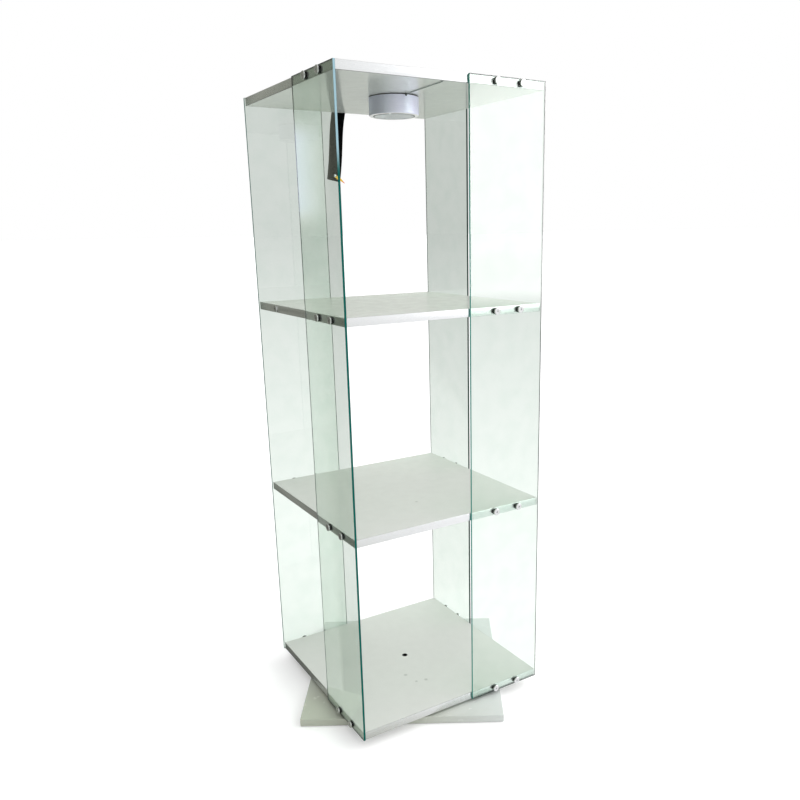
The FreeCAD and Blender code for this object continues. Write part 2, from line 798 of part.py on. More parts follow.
def turned_about_bolt(body, name, points, seat, x):
    """A revolution about a bolt's axis. Points are (radius, distance inwards from the seat)."""
    outline = polygon(
        body, f"{name}_section", "XY_Plane", points, x=x, y=f"-{seat}", z=BOARD_MIDDLE
    )
    return turn(body, "Revolution", f"{name}_turned", outline)


def cap_bolt(body, name, seat, x=FIRST_BOLT):
    """One bolt: a round chamfered cap with a hexagon socket, and its shank."""
    cap = "sizes.cap_diameter / 2"
    shank = "sizes.bolt_diameter / 2"
    points = [
        ("0", "-sizes.cap_height"),
        (f"{cap} - sizes.cap_chamfer", "-sizes.cap_height"),
        (cap, "-sizes.cap_height + sizes.cap_chamfer"),
        (cap, "0"),
        (shank, "0"),
        (shank, "sizes.bolt_length"),
        ("0", "sizes.bolt_length"),
    ]
    turned = turned_about_bolt(body, name, points, seat, x)
    corner = "sizes.socket_width / 2 / cos(30)"
    angles = range(0, FULL_TURN, 60)
    hexagon = [(f"{corner} * cos({angle})", f"{corner} * sin({angle})") for angle in angles]
    outline = polygon(
        body,
        f"{name}_socket_outline",
        "XZ_Plane",
        hexagon,
        x=x,
        y=BOARD_MIDDLE,
        z=f"{seat} + sizes.cap_height",
    )
    socket = extrude(body, "Pocket", f"{name}_socket", outline, "sizes.socket_depth")
    return [turned, socket]


def threaded_insert(body, name, x=FIRST_BOLT):
    """One insert: a tube pushed into the board's edge behind the edging."""
    bore = f"{BOLT_BORE} / 2"
    outer = f"{INSERT_DIAMETER} / 2"
    points = [
        (bore, "0"),
        (outer, "0"),
        (outer, "sizes.insert_length"),
        (bore, "sizes.insert_length"),
    ]
    return turned_about_bolt(body, name, points, CORE_HALF, x)


def make_bolts(side):
    """The eight cap bolts of one panel."""
    name = f"{side}_panel_bolts"
    body = make_body(name)
    repeat(body, f"{name}_all", cap_bolt(body, name, CAP_SEAT), bolt_grid(body, name))
    face_side(body, side)
    return body


def make_sleeves(side):
    """The eight flanged plastic sleeves that keep one panel's bolts off the glass."""
    name = f"{side}_panel_sleeves"
    body = make_body(name)
    bore = f"{BOLT_BORE} / 2"
    flange = "sizes.cap_diameter / 2 - sizes.flange_setback"
    tube = f"{SLEEVE_DIAMETER} / 2"
    end = "sizes.glass_thick - sizes.sleeve_clearance"
    points = [
        (bore, "-sizes.flange_thick"),
        (flange, "-sizes.flange_thick"),
        (flange, "0"),
        (tube, "0"),
        (tube, end),
        (bore, end),
    ]
    sleeve = turned_about_bolt(body, name, points, GLASS_FACE, FIRST_BOLT)
    repeat(body, f"{name}_all", [sleeve], bolt_grid(body, name))
    face_side(body, side)
    return body


def make_inserts(side):
    """The eight threaded inserts that one panel's bolts screw into."""
    name = f"{side}_panel_inserts"
    body = make_body(name)
    repeat(body, f"{name}_all", [threaded_insert(body, name)], bolt_grid(body, name))
    face_side(body, side)
    return body


def make_spare_fixing():
    """The lone bolt in the upper shelf's left edge, with its insert and no glass under its cap."""
    pieces = []
    for name in ("spare_bolt", "spare_insert"):
        body = make_body(name)
        if name == "spare_bolt":
            cap_bolt(body, name, HALF_SIDE, x=f"-{SPARE_PLACE}")
        else:
            threaded_insert(body, name, x=f"-{SPARE_PLACE}")
        face_side(body, "left")
        raise_to(body, board_level(UPPER_SHELF))
        pieces.append(body)
    return pieces


# ---------------------------------------------------------------------------------------------
# Lamp under the middle of the top board. Its bodies hang below their own origin, which is
# lifted to the board's underside.
# ---------------------------------------------------------------------------------------------

LAMP_RADIUS = "(sizes.lamp_diameter / 2)"
LAMP_INSIDE = f"({LAMP_RADIUS} - sizes.lamp_wall)"
PLATE_RADIUS = f"({LAMP_INSIDE} - sizes.lamp_clearance)"
LAMP_SCREW_RADIUS = f"({PLATE_RADIUS} - sizes.lamp_screw_inset)"
LAMP_BOTTOM = "(sizes.lamp_gap + sizes.lamp_height)"
RIM_RADIUS = f"({LAMP_RADIUS} - sizes.rim_width)"
LENS_RADIUS = f"({RIM_RADIUS} + sizes.lens_seat)"
LENS_UNDERSIDE = f"({LAMP_BOTTOM} - sizes.rim_thick)"
LENS_TOP = f"({LENS_UNDERSIDE} - sizes.lens_thick)"
BULB_END = f"({LENS_TOP} - sizes.bulb_gap - sizes.bulb_diameter / 2)"
HOLDER_BOTTOM = f"({BULB_END} - sizes.bulb_length)"
LEAD_DEPTH = "(sizes.plate_thick + sizes.lead_clearance + sizes.lead_diameter / 2)"
LEAD_END = f"-({CORE_HALF} - sizes.lead_inset)"


def make_lamp_plate():
    """The round plate screwed to the top board."""
    body = make_body("lamp_mounting_plate")
    section = rectangle(
        body, "plate_section", "XZ_Plane", ("0", "-sizes.plate_thick"), (PLATE_RADIUS, "0")
    )
    turn(body, "Revolution", "plate_blank", section)
    sink = screw_outline(
        body,
        "plate_hole_section",
        "sizes.lamp_screw_diameter / 2",
        "sizes.lamp_screw_head / 2",
        "sizes.lamp_screw_length",
        False,
        "sizes.screw_clearance",
        x=LAMP_SCREW_RADIUS,
        y="-sizes.plate_thick",
    )
    hole = turn(body, "Groove", "plate_hole", sink)
    repeat(body, "plate_holes", [hole], [around(body, "plate_hole_ring", "sizes.lamp_screw_count")])
    hang_at_lamp(body)
    return body


def make_lamp_screws():
    """The countersunk screws that hold the plate, flush with its underside."""
    body = make_body("lamp_screws")
    outline = screw_outline(
        body,
        "lamp_screw_section",
        "sizes.lamp_screw_diameter / 2",
        "sizes.lamp_screw_head / 2",
        "sizes.lamp_screw_length",
        False,
        "0",
        x=LAMP_SCREW_RADIUS,
        y="-sizes.plate_thick",
    )
    screw = turn(body, "Revolution", "lamp_screw", outline)
    repeat(body, "lamp_screws_all", [screw], [around(body, "screw_ring", "sizes.lamp_screw_count")])
    hang_at_lamp(body)
    return body


def make_lamp_housing():
    """The drum round the lamp: a wall, a rim turned in under the lens, and a notch for the lead."""
    body = make_body("lamp_housing")
    points = [
        (LAMP_INSIDE, "-sizes.lamp_gap"),
        (LAMP_RADIUS, "-sizes.lamp_gap"),
        (LAMP_RADIUS, f"-{LAMP_BOTTOM}"),
        (RIM_RADIUS, f"-{LAMP_BOTTOM}"),
        (RIM_RADIUS, f"-{LENS_UNDERSIDE}"),
        (LAMP_INSIDE, f"-{LENS_UNDERSIDE}"),
    ]
    section = polygon(body, "housing_section", "XZ_Plane", points)
    drum = turn(body, "Revolution", "housing_drum", section)
    doc.recompute()
    rounding = body.newObject("PartDesign::Fillet", "rim_rounding")
    rounding.Base = (drum, [lowest_widest_edge(drum.Shape)])
    rounding.setExpression("Radius", "sizes.rim_round")
    body.Tip = rounding
    half_notch = "(sizes.lead_diameter / 2 + sizes.lead_clearance)"
    notch_outline = rectangle(
        body,
        "notch_outline",
        "XZ_Plane",
        (f"-{half_notch}", f"-({LEAD_DEPTH} + {half_notch})"),
        (half_notch, "0"),
        z=f"{LAMP_RADIUS} + sizes.lamp_wall",
    )
    extrude(body, "Pocket", "lead_notch", notch_outline, "3 * sizes.lamp_wall")
    hang_at_lamp(body)
    return body


def make_lamp_lens():
    """The round lens that lies on the rim."""
    body = make_body("lamp_lens")
    outline = disc(body, "lens_outline", "XY_Plane", f"2 * {LENS_RADIUS}", z=f"-{LENS_UNDERSIDE}")
    extrude(body, "Pad", "lens", outline, "sizes.lens_thick")
    hang_at_lamp(body)
    return body


def make_lens_gasket():
    """The ring on the rim that centres the lens in the housing."""
    body = make_body("lens_gasket")
    section = rectangle(
        body,
        "gasket_section",
        "XZ_Plane",
        (f"{LENS_RADIUS} + sizes.lamp_clearance", f"-{LENS_UNDERSIDE}"),
        (PLATE_RADIUS, f"-{LENS_UNDERSIDE} + sizes.gasket_height"),
    )
    turn(body, "Revolution", "gasket", section)
    hang_at_lamp(body)
    return body


def make_reflector():
    """The shallow cone above the lens, with its neck round the bulb holder."""
    body = make_body("lamp_reflector")
    neck = "(sizes.holder_diameter / 2 + sizes.lamp_clearance)"
    wide = f"({RIM_RADIUS} + sizes.reflector_wall)"
    foot = f"-{LENS_TOP}"
    points = [
        (neck, f"-{HOLDER_BOTTOM} + sizes.reflector_wall"),
        (wide, foot),
        (f"{wide} + sizes.reflector_wall", foot),
        (f"{neck} + sizes.reflector_wall", f"-{HOLDER_BOTTOM} + 3 * sizes.reflector_wall"),
        (neck, f"-{HOLDER_BOTTOM} + 3 * sizes.reflector_wall"),
    ]
    section = polygon(body, "reflector_section", "XZ_Plane", points)
    turn(body, "Revolution", "reflector", section)
    hang_at_lamp(body)
    return body


def make_bulb_holder():
    """The round holder under the plate's middle that carries the bulb."""
    body = make_body("bulb_holder")
    outline = disc(
        body, "holder_outline", "XY_Plane", "sizes.holder_diameter", z=f"-{HOLDER_BOTTOM}"
    )
    extrude(body, "Pad", "holder", outline, f"{HOLDER_BOTTOM} - sizes.plate_thick")
    hang_at_lamp(body)
    return body


def make_bulb():
    """The capsule bulb: a short cylinder under the holder with a round end."""
    stem = doc.addObject("Part::Cylinder", "bulb_stem")
    stem.setExpression("Radius", "sizes.bulb_diameter / 2")
    stem.setExpression("Height", "sizes.bulb_length")
    hang_at_lamp(stem, BULB_END)
    end = doc.addObject("Part::Sphere", "bulb_end")
    end.setExpression("Radius", "sizes.bulb_diameter / 2")
    hang_at_lamp(end, BULB_END)
    bulb = doc.addObject("Part::MultiFuse", "lamp_bulb")
    bulb.Label = "lamp_bulb"
    bulb.Shapes = [stem, end]
    bulb.Refine = True
    return bulb


def rounded_path(points):
    """A wire of straight runs joined by tangent arcs, each as large as its two runs allow."""
    share = 0.45
    edges = []
    start = points[0]
    for before, corner, after in zip(points, points[1:], points[2:]):
        back = before - corner
        ahead = after - corner
        half_turn = (math.pi - back.getAngle(ahead)) / 2
        cut = share * min(back.Length, ahead.Length)
        radius = cut / math.tan(half_turn)
        print(f"lead: arc of radius {radius:.1f} mm")
        back.normalize()
        ahead.normalize()
        inward = (back + ahead).normalize()
        middle = corner + inward * (radius / math.cos(half_turn) - radius)
        first = corner + back * cut
        last = corner + ahead * cut
        edges.append(Part.LineSegment(start, first).toShape())
        edges.append(Part.Arc(first, middle, last).toShape())
        start = last
    edges.append(Part.LineSegment(start, points[-1]).toShape())
    return Part.Wire(edges)


def make_lamp_lead(sheet):
    """The lamp's thin lead: out of the holder, through the notch, up to the top board, along
    its underside to the front edge and up into the slot there."""
    half_side = sheet.board_side / 2
    radius = sheet.lead_diameter / 2
    underside = (
        sheet.glide_thick
        + sheet.base_thick
        + sheet.ball_diameter
        + 2 * (sheet.cage_web + sheet.cage_relief)
        + COMPARTMENTS * (sheet.board_thick + sheet.clear_height)
    )
    inside = sheet.plate_thick + sheet.lead_clearance + radius
    below = sheet.lead_clearance + radius
    leave = sheet.lamp_forward + sheet.holder_diameter / 2 + sheet.screw_clearance
    foot = sheet.lamp_forward + sheet.lamp_diameter / 2 + sheet.lead_level
    end = half_side - sheet.edging_thick - sheet.lead_inset
    route = [
        (0, leave, -inside),
        (0, foot, -inside),
        (0, foot + sheet.lead_rise, -below),
        (sheet.lead_drift, end, -below),
        (sheet.lead_drift, end, sheet.lead_tail),
    ]
    points = [FreeCAD.Vector(-left, -out, underside + up) for left, out, up in route]
    section = Part.Wire(Part.Circle(points[0], SIDEWAYS, radius).toShape())
    lead = doc.addObject("Part::Feature", "lamp_lead")
    lead.Label = "lamp_lead"
    lead.Shape = rounded_path(points).makePipeShell([section], True, False)
    return lead


# ---------------------------------------------------------------------------------------------
# Strap on the back edge of the top board. Its bodies are made round the strap's screw and
# share one placement, which leans them sideways.
# ---------------------------------------------------------------------------------------------

STRAP_END = "(sizes.strap_drop + sizes.board_thick / 2)"
STRAP_REACH = (
    "(sizes.strap_width / 2 * cos(sizes.strap_lean_angle)"
    f" + {STRAP_END} * sin(sizes.strap_lean_angle))"
)
BACK_PANEL_EDGE = f"({HALF_SIDE} + sizes.glass_overhang - sizes.glass_width)"
STRAP_PLACE = f"({STRAP_REACH} + sizes.strap_gap - {BACK_PANEL_EDGE})"


def hang(body):
    """Puts a body of the strap at the screw and leans it."""
    body.Placement = FreeCAD.Placement(FreeCAD.Vector(), FreeCAD.Rotation(SIDEWAYS, 1))
    body.setExpression("Placement.Rotation.Angle", "sizes.strap_lean_angle")
    body.setExpression("Placement.Base.x", STRAP_PLACE)
    body.setExpression("Placement.Base.y", HALF_SIDE)
    body.setExpression("Placement.Base.z", f"{TOP_UNDERSIDE} + {BOARD_MIDDLE}")


def strap_turning(body, name, points, x="0", z="0"):
    """A revolution about an axis across the strap. Points are (radius, distance outwards)."""
    outline = polygon(body, f"{name}_section", "XY_Plane", points, x=x, z=z)
    return turn(body, "Revolution", f"{name}_turned", outline)


def make_strap():
    """The flat strap, with a hole for its screw and one for the rivet."""
    body = make_body("hanging_strap")
    half = "sizes.strap_width / 2"
    outline = rectangle(
        body, "strap_outline", "XZ_Plane", (f"-{half}", f"-{STRAP_END}"), (half, "sizes.strap_rise")
    )
    extrude(body, "Pad", "strap_band", outline, "sizes.strap_thick", backwards=True)
    screw_hole = disc(
        body,
        "strap_screw_outline",
        "XZ_Plane",
        STRAP_SCREW_HOLE,
    )
    extrude(body, "Pocket", "strap_screw_hole", screw_hole, "sizes.strap_thick")
    rivet_hole = disc(
        body,
        "strap_rivet_outline",
        "XZ_Plane",
        "sizes.rivet_diameter + 2 * sizes.screw_clearance",
        x="sizes.rivet_across",
        y=f"-{STRAP_END} + sizes.rivet_above_end",
    )
    extrude(body, "Pocket", "strap_rivet_hole", rivet_hole, "sizes.strap_thick")
    hang(body)
    return body


def make_strap_screw():
    """The pan-head screw that holds the strap to the top board's back edge."""
    body = make_body("strap_screw")
    seat = "(sizes.strap_thick + sizes.washer_thick)"
    shank = "sizes.strap_screw_diameter / 2"
    head = "sizes.strap_screw_head / 2"
    points = [
        ("0", f"{seat} - sizes.strap_screw_length"),
        (shank, f"{seat} - sizes.strap_screw_length"),
        (shank, seat),
        (head, seat),
        (head, f"{seat} + sizes.strap_head_thick / 2"),
        (f"{head} - sizes.strap_head_thick / 2", f"{seat} + sizes.strap_head_thick"),
        ("0", f"{seat} + sizes.strap_head_thick"),
    ]
    strap_turning(body, "strap_screw", points)
    hang(body)
    return body


def make_strap_washer():
    """The washer between the strap and the head of its screw."""
    body = make_body("strap_washer")
    bore = f"{STRAP_SCREW_HOLE} / 2"
    outer = "sizes.washer_diameter / 2"
    near = "sizes.strap_thick"
    far = "sizes.strap_thick + sizes.washer_thick"
    strap_turning(body, "washer", [(bore, near), (outer, near), (outer, far), (bore, far)])
    hang(body)
    return body


def make_strap_rivet():
    """The rivet through the tag and the strap, with a head on each side."""
    body = make_body("strap_rivet")
    shank = "sizes.rivet_diameter / 2"
    head = "sizes.rivet_head / 2"
    front = "-sizes.tag_thick"
    back = "sizes.strap_thick"
    points = [
        ("0", f"{front} - sizes.rivet_head_thick"),
        (f"{head} - sizes.rivet_head_thick", f"{front} - sizes.rivet_head_thick"),
        (head, front),
        (shank, front),
        (shank, back),
        (head, back),
        (head, f"{back} + sizes.rivet_head_thick"),
        ("0", f"{back} + sizes.rivet_head_thick"),
    ]
    level = f"-{STRAP_END} + sizes.rivet_above_end"
    strap_turning(body, "rivet", points, x="sizes.rivet_across", z=level)
    hang(body)
    return body


def make_strap_tag():
    """The narrow tag held by the rivet in front of the strap, sloping down to the right."""
    body = make_body("strap_tag")
    slope = "sizes.tag_slope_angle"
    half = "(sizes.tag_width / 2)"
    corners = [
        (f"-{half}", f"-{half} / 2"),
        (f"-{half} / 2", f"-{half}"),
        (f"(sizes.tag_length - {half})", f"-{half}"),
        ("sizes.tag_length", "0"),
        (f"(sizes.tag_length - {half})", half),
        (f"-{half} / 2", half),
        (f"-{half}", f"{half} / 2"),
    ]
    turned = [
        (
            f"{along_tag} * cos({slope}) + {across_tag} * sin({slope})",
            f"{across_tag} * cos({slope}) - {along_tag} * sin({slope})",
        )
        for along_tag, across_tag in corners
    ]
    level = f"-{STRAP_END} + sizes.rivet_above_end"
    outline = polygon(body, "tag_outline", "XZ_Plane", turned, x="sizes.rivet_across", y=level)
    extrude(body, "Pad", "tag", outline, "sizes.tag_thick")
    hole = disc(
        body,
        "tag_hole_outline",
        "XZ_Plane",
        "sizes.rivet_diameter + 2 * sizes.screw_clearance",
        x="sizes.rivet_across",
        y=level,
        z="sizes.tag_thick",
    )
    extrude(body, "Pocket", "tag_hole", hole, "sizes.tag_thick")
    hang(body)
    return body


# ---------------------------------------------------------------------------------------------
# Build, check and write
# ---------------------------------------------------------------------------------------------


def make_all():
    """Every sub-part of the cabinet."""
    sheet = make_sheet()
    pieces = [make_base_board(), make_base_glides()]
    pieces += make_turntable()
    pieces += [make_ball_cage(), make_bearing_balls()]
    pieces += make_boards()
    pieces += make_edgings()
    pieces += [make_hole_liner()]
    for side in SIDES:
        pieces += [make_glass_panel(side), make_bolts(side), make_sleeves(side), make_inserts(side)]
    pieces += make_spare_fixing()
    pieces += [make_lamp_plate(), make_lamp_screws(), make_lamp_housing(), make_lamp_lens()]
    pieces += [make_lens_gasket(), make_reflector(), make_bulb_holder(), make_bulb()]
    pieces += [make_lamp_lead(sheet)]
    pieces += [make_strap(), make_strap_screw(), make_strap_washer()]
    pieces += [make_strap_rivet(), make_strap_tag()]
    return pieces


def check(pieces):
    """Stops if any object failed, or if any sub-part has no sound shape."""
    for item in doc.Objects:
        if "Invalid" in item.State or "Error" in item.State:
            raise RuntimeError(f"{item.Name} failed: {item.State}")
    for piece in pieces:
        if piece.Shape.isNull() or not piece.Shape.isValid():
            raise RuntimeError(f"{piece.Label} has no valid shape")
        if not piece.Shape.Solids:
            raise RuntimeError(f"{piece.Label} has no solid")


def write(pieces):
    """Writes each sub-part to a STEP file of its own name."""
    os.makedirs("parts", exist_ok=True)
    for piece in pieces:
        piece.Shape.exportStep(f"parts/{piece.Label}.step")
        print(f"{piece.Label}: {len(piece.Shape.Solids)} solids, {piece.Shape.Volume:.1f} mm3")


all_pieces = make_all()
doc.recompute()
check(all_pieces)
write(all_pieces)
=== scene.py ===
import json
import logging
import math
from dataclasses import dataclass
from enum import Enum

import bmesh
import bpy
from mathutils import Matrix, Vector
from mathutils.geometry import interpolate_bezier


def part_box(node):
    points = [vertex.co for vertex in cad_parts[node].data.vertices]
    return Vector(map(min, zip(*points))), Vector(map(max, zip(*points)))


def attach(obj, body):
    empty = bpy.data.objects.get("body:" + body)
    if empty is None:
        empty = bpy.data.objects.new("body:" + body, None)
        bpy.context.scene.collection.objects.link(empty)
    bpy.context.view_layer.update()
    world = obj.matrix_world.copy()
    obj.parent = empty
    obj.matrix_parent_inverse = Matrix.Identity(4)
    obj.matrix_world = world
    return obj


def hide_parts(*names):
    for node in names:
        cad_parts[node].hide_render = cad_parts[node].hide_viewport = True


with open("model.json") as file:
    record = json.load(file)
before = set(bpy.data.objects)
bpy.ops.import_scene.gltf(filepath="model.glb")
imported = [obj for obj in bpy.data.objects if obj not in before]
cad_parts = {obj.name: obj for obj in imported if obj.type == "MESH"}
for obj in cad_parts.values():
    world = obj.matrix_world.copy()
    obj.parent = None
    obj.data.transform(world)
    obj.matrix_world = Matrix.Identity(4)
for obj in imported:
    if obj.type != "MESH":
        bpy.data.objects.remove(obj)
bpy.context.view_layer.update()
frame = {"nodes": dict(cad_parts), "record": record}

# A revolving display cabinet: square lacquered boards with brushed metal edging between four
# tall glass panels, round-capped bolts, a lamp under the top board and a strap on its back
# edge. Everything is in metres, +Z up, with the origin on the axis of turning, on the floor.

MM = 0.001
IMAGE_WIDTH = 800
FULL_TURN = 2 * math.pi
WHITE = (1.0, 1.0, 1.0, 1.0)

# Distances at which vertices merge, and angles between faces, in degrees.
MERGE_MM = 0.01
CAD_MERGE_MM = 0.005
FLAT = 1.0
SHARP = 60.0
SOFT = 35.0

# Settings and inputs of nodes that occur again and again.
RANGE = ("Value", "From Min", "From Max", "To Min", "To Max")
SMOOTH = {"interpolation_type": "SMOOTHSTEP"}
COLOURS = {"data_type": "RGBA"}
NUMBERS = {"data_type": "FLOAT"}
TIMES = {"operation": "MULTIPLY"}
TIMES_PLUS = {"operation": "MULTIPLY_ADD"}
MINUS = {"operation": "SUBTRACT"}
BELOW = {"operation": "LESS_THAN"}
UNIT = {"operation": "NORMALIZE"}

Pair = tuple[float, float]
Triple = tuple[float, float, float]
Tree = bpy.types.NodeTree
Socket = bpy.types.NodeSocket
Mesh = bmesh.types.BMesh
Materials = dict[str, bpy.types.Material]

log = logging.getLogger("cabinet")


# ---------------------------------------------------------------------------------------------
# Colours, nodes and meshes
# ---------------------------------------------------------------------------------------------


def linear(hex_code: str) -> tuple[float, float, float, float]:
    """Turns an sRGB colour into the linear values that the shaders take.

    Args:
        hex_code: The colour as "#RRGGBB".

    Returns:
        Red, green, blue and an alpha of 1.
    """
    parts = [int(hex_code[start : start + 2], 16) / 255 for start in (1, 3, 5)]
    return (*(p / 12.92 if p <= 0.04045 else ((p + 0.055) / 1.055) ** 2.4 for p in parts), 1.0)


def add_node(
    tree: Tree,
    kind: str,
    settings: dict[str, object] | None = None,
    inputs: dict[str | int, object] | None = None,
) -> bpy.types.Node:
    """Adds one node with its settings, its values and its links.

    Args:
        tree: The node tree that takes the node.
        kind: The node's type, without "ShaderNode" in front.
        settings: Properties of the node itself.
        inputs: A value, or another node's output socket to link, for each input.

    Returns:
        The new node.
    """
    node = tree.nodes.new(f"ShaderNode{kind}")
    for name, value in (settings or {}).items():
        setattr(node, name, value)
    for name, value in (inputs or {}).items():
        if isinstance(value, Socket):
            tree.links.new(value, node.inputs[name])
        else:
            node.inputs[name].default_value = value
    return node


def new_material(name: str) -> tuple[bpy.types.Material, Tree, bpy.types.Node]:
    """Makes an empty node material.

    Args:
        name: The material's name.

    Returns:
        The material, its node tree and its output node.
    """
    material = bpy.data.materials.new(name)
    material.use_nodes = True
    tree = material.node_tree
    tree.nodes.clear()
    return material, tree, tree.nodes.new("ShaderNodeOutputMaterial")


def real_clouds(tree: Tree, pitch_mm: Triple, detail: float, roughness: float = 0.5) -> Socket:
    """Scales object coordinates so that a cloudy pattern repeats at real sizes.

    Args:
        tree: The material's node tree.
        pitch_mm: The pattern's real size along X, Y and Z.
        detail: Number of finer layers in it.
        roughness: Weight of the finer layers.

    Returns:
        The pattern's value.
    """
    place = add_node(tree, "TexCoord").outputs["Object"]
    scale = tuple(1 / (pitch * MM) for pitch in pitch_mm)
    spot = add_node(tree, "Mapping", None, {"Vector": place, "Scale": scale}).outputs[0]
    values = {"Vector": spot, "Detail": detail, "Roughness": roughness}
    return add_node(tree, "TexNoise", None, values).outputs[0]


def blend(
    tree: Tree,
    value: Socket,
    reach: Pair | None,
    first: str | Socket | tuple[float, ...],
    last: str | Socket | tuple[float, ...],
    smooth: bool = False,
) -> Socket:
    """Goes from one colour to another while a value passes between two limits.

    Args:
        tree: The node tree.
        value: The value.
        reach: The limits, or None if the value is the last colour's share already.
        first: The colour before the first limit.
        last: The colour past the second.
        smooth: Whether the change is eased at both ends.

    Returns:
        The colour.
    """
    if reach:
        limits = dict(zip(RANGE, (value, *reach)))
        value = add_node(tree, "MapRange", SMOOTH if smooth else None, limits).outputs[0]
    ends = [linear(end) if isinstance(end, str) else end for end in (first, last)]
    # Inputs 6 and 7 of this node are its two colours, and output 2 is the mixed one.
    return add_node(tree, "Mix", COLOURS, {"Factor": value, 6: ends[0], 7: ends[1]}).outputs[2]


def relief_shader(tree: Tree, height: Socket, relief: Pair, values: dict[str, object]) -> Socket:
    """A shader whose surface has a fine relief.

    Args:
        tree: The material's node tree.
        height: The relief's pattern.
        relief: The relief's strength and its depth in millimetres.
        values: The shader's own inputs.

    Returns:
        The shader's output.
    """
    strength, depth = relief
    shape = {"Height": height, "Strength": strength, "Distance": depth * MM}
    bump = add_node(tree, "Bump", None, shape)
    return add_node(tree, "BsdfPrincipled", None, {**values, "Normal": bump.outputs[0]}).outputs[0]


def finish_mesh(mesh: Mesh, name: str, smooth_angle: float = SOFT) -> bpy.types.Object:
    """Turns a bmesh into an object at the origin, shaded smooth up to an angle.

    Args:
        mesh: The mesh, which is freed.
        name: The object's name.
        smooth_angle: Sharpest angle in degrees that is shaded smooth.

    Returns:
        The new object.
    """
    bmesh.ops.remove_doubles(mesh, verts=mesh.verts, dist=MERGE_MM * MM)
    bmesh.ops.recalc_face_normals(mesh, faces=mesh.faces)
    limit = math.radians(smooth_angle)
    for face in mesh.faces:
        face.smooth = True
    for edge in mesh.edges:
        edge.smooth = len(edge.link_faces) == 2 and edge.calc_face_angle(math.pi) < limit
    data = bpy.data.meshes.new(name)
    mesh.to_mesh(data)
    mesh.free()
    piece = bpy.data.objects.new(name, data)
    bpy.context.scene.collection.objects.link(piece)
    return piece


def spun(
    mesh: Mesh, profile: list[Pair], centre: Vector, axis: Vector, steps: int
) -> list[bmesh.types.BMVert]:
    """Spins a profile about an axis.

    Args:
        mesh: The mesh that takes the shape.
        profile: Points of radius and distance along the axis, in millimetres.
        centre: A point on the axis, where the distance is 0.
        axis: The axis' unit direction.
        steps: Number of steps in the full turn.

    Returns:
        The new vertices.
    """
    before = set(mesh.verts)
    across = axis.orthogonal().normalized()
    points = [centre + across * radius * MM + axis * out * MM for radius, out in profile]
    verts = [mesh.verts.new(point) for point in points]
    edges = [mesh.edges.new(pair) for pair in zip(verts, verts[1:])]
    bmesh.ops.spin(
        mesh,
        geom=verts + edges,
        cent=centre,
        axis=axis,
        angle=FULL_TURN,
        steps=steps,
        use_merge=True,
        use_duplicate=False,
    )
    return [vert for vert in mesh.verts if vert not in before]


def arc(centre: Pair, radius: float, start: float, end: float, steps: int) -> list[Pair]:
    """Points on an arc of a profile.

    Args:
        centre: The arc's centre.
        radius: The arc's radius.
        start: First angle in degrees, from the profile's first axis.
        end: Last angle in degrees.
        steps: Number of steps.

    Returns:
        The points, both ends included.
    """
    angles = [math.radians(start + (end - start) * step / steps) for step in range(steps + 1)]
    return [(centre[0] + radius * math.cos(a), centre[1] + radius * math.sin(a)) for a in angles]


def merged_copy(node: str) -> Mesh:
    """A copy of a CAD node's mesh with its doubles merged and its flat faces whole.

    Args:
        node: The node's name.

    Returns:
        The copy.
    """
    mesh = bmesh.new()
    mesh.from_mesh(frame["nodes"][node].data)
    bmesh.ops.remove_doubles(mesh, verts=mesh.verts, dist=CAD_MERGE_MM * MM)
    flat = math.radians(FLAT)
    bmesh.ops.dissolve_limit(mesh, angle_limit=flat, verts=mesh.verts, edges=mesh.edges)
    return mesh


def ease(mesh: Mesh, edges: list[bmesh.types.BMEdge], width_mm: float, segments: int) -> None:
    """Rounds sharp edges over.

    Args:
        mesh: The mesh that holds the edges.
        edges: The edges.
        width_mm: How far the rounding reaches.
        segments: Number of steps in the rounding.
    """
    bmesh.ops.bevel(
        mesh,
        geom=edges,
        offset=width_mm * MM,
        affect="EDGES",
        segments=segments,
        profile=0.5,
        material=-1,
    )


def long_sharp_edges(mesh: Mesh, least_mm: float) -> list[bmesh.types.BMEdge]:
    """The edges of a board, a strip or a panel, without those of its drilled holes.

    Args:
        mesh: The mesh.
        least_mm: Length from which an edge counts.

    Returns:
        The edges between two faces that meet at a sharp angle.
    """
    return [
        edge
        for edge in mesh.edges
        if len(edge.link_faces) == 2
        and edge.calc_length() > least_mm * MM
        and edge.calc_face_angle(0.0) > math.radians(SHARP)
    ]


def dress(piece: bpy.types.Object, *materials: bpy.types.Material) -> None:
    """Gives a piece these materials in place of those it has.

    Args:
        piece: The piece.
        materials: The materials.
    """
    if piece.data.materials:
        piece.data.materials.clear()
    for material in materials:
        piece.data.materials.append(material)


def hand_over(
    mesh: Mesh,
    name: str,
    materials: list[bpy.types.Material],
    slot: str,
    *nodes: str,
    body: str = "cabinet",
    smooth_angle: float = SOFT,
) -> bpy.types.Object:
    """Finishes a mesh as a piece that rides on a body in place of CAD nodes, and logs it.

    Args:
        mesh: The mesh, which is freed.
        name: The piece's name.
        materials: Its materials.
        slot: The record's material slot; not used.
        nodes: The CAD nodes it replaces.
        body: The CAD body it moves with.
        smooth_angle: Sharpest angle in degrees that is shaded smooth.

    Returns:
        The piece.
    """
    piece = finish_mesh(mesh, name, smooth_angle)
    dress(piece, *materials)
    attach(piece, body)
    if nodes:
        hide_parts(*nodes)
    log.info("%s stands for %s", name, ", ".join(nodes) or "itself")
    return piece


# ---------------------------------------------------------------------------------------------
# Finishes
# ---------------------------------------------------------------------------------------------


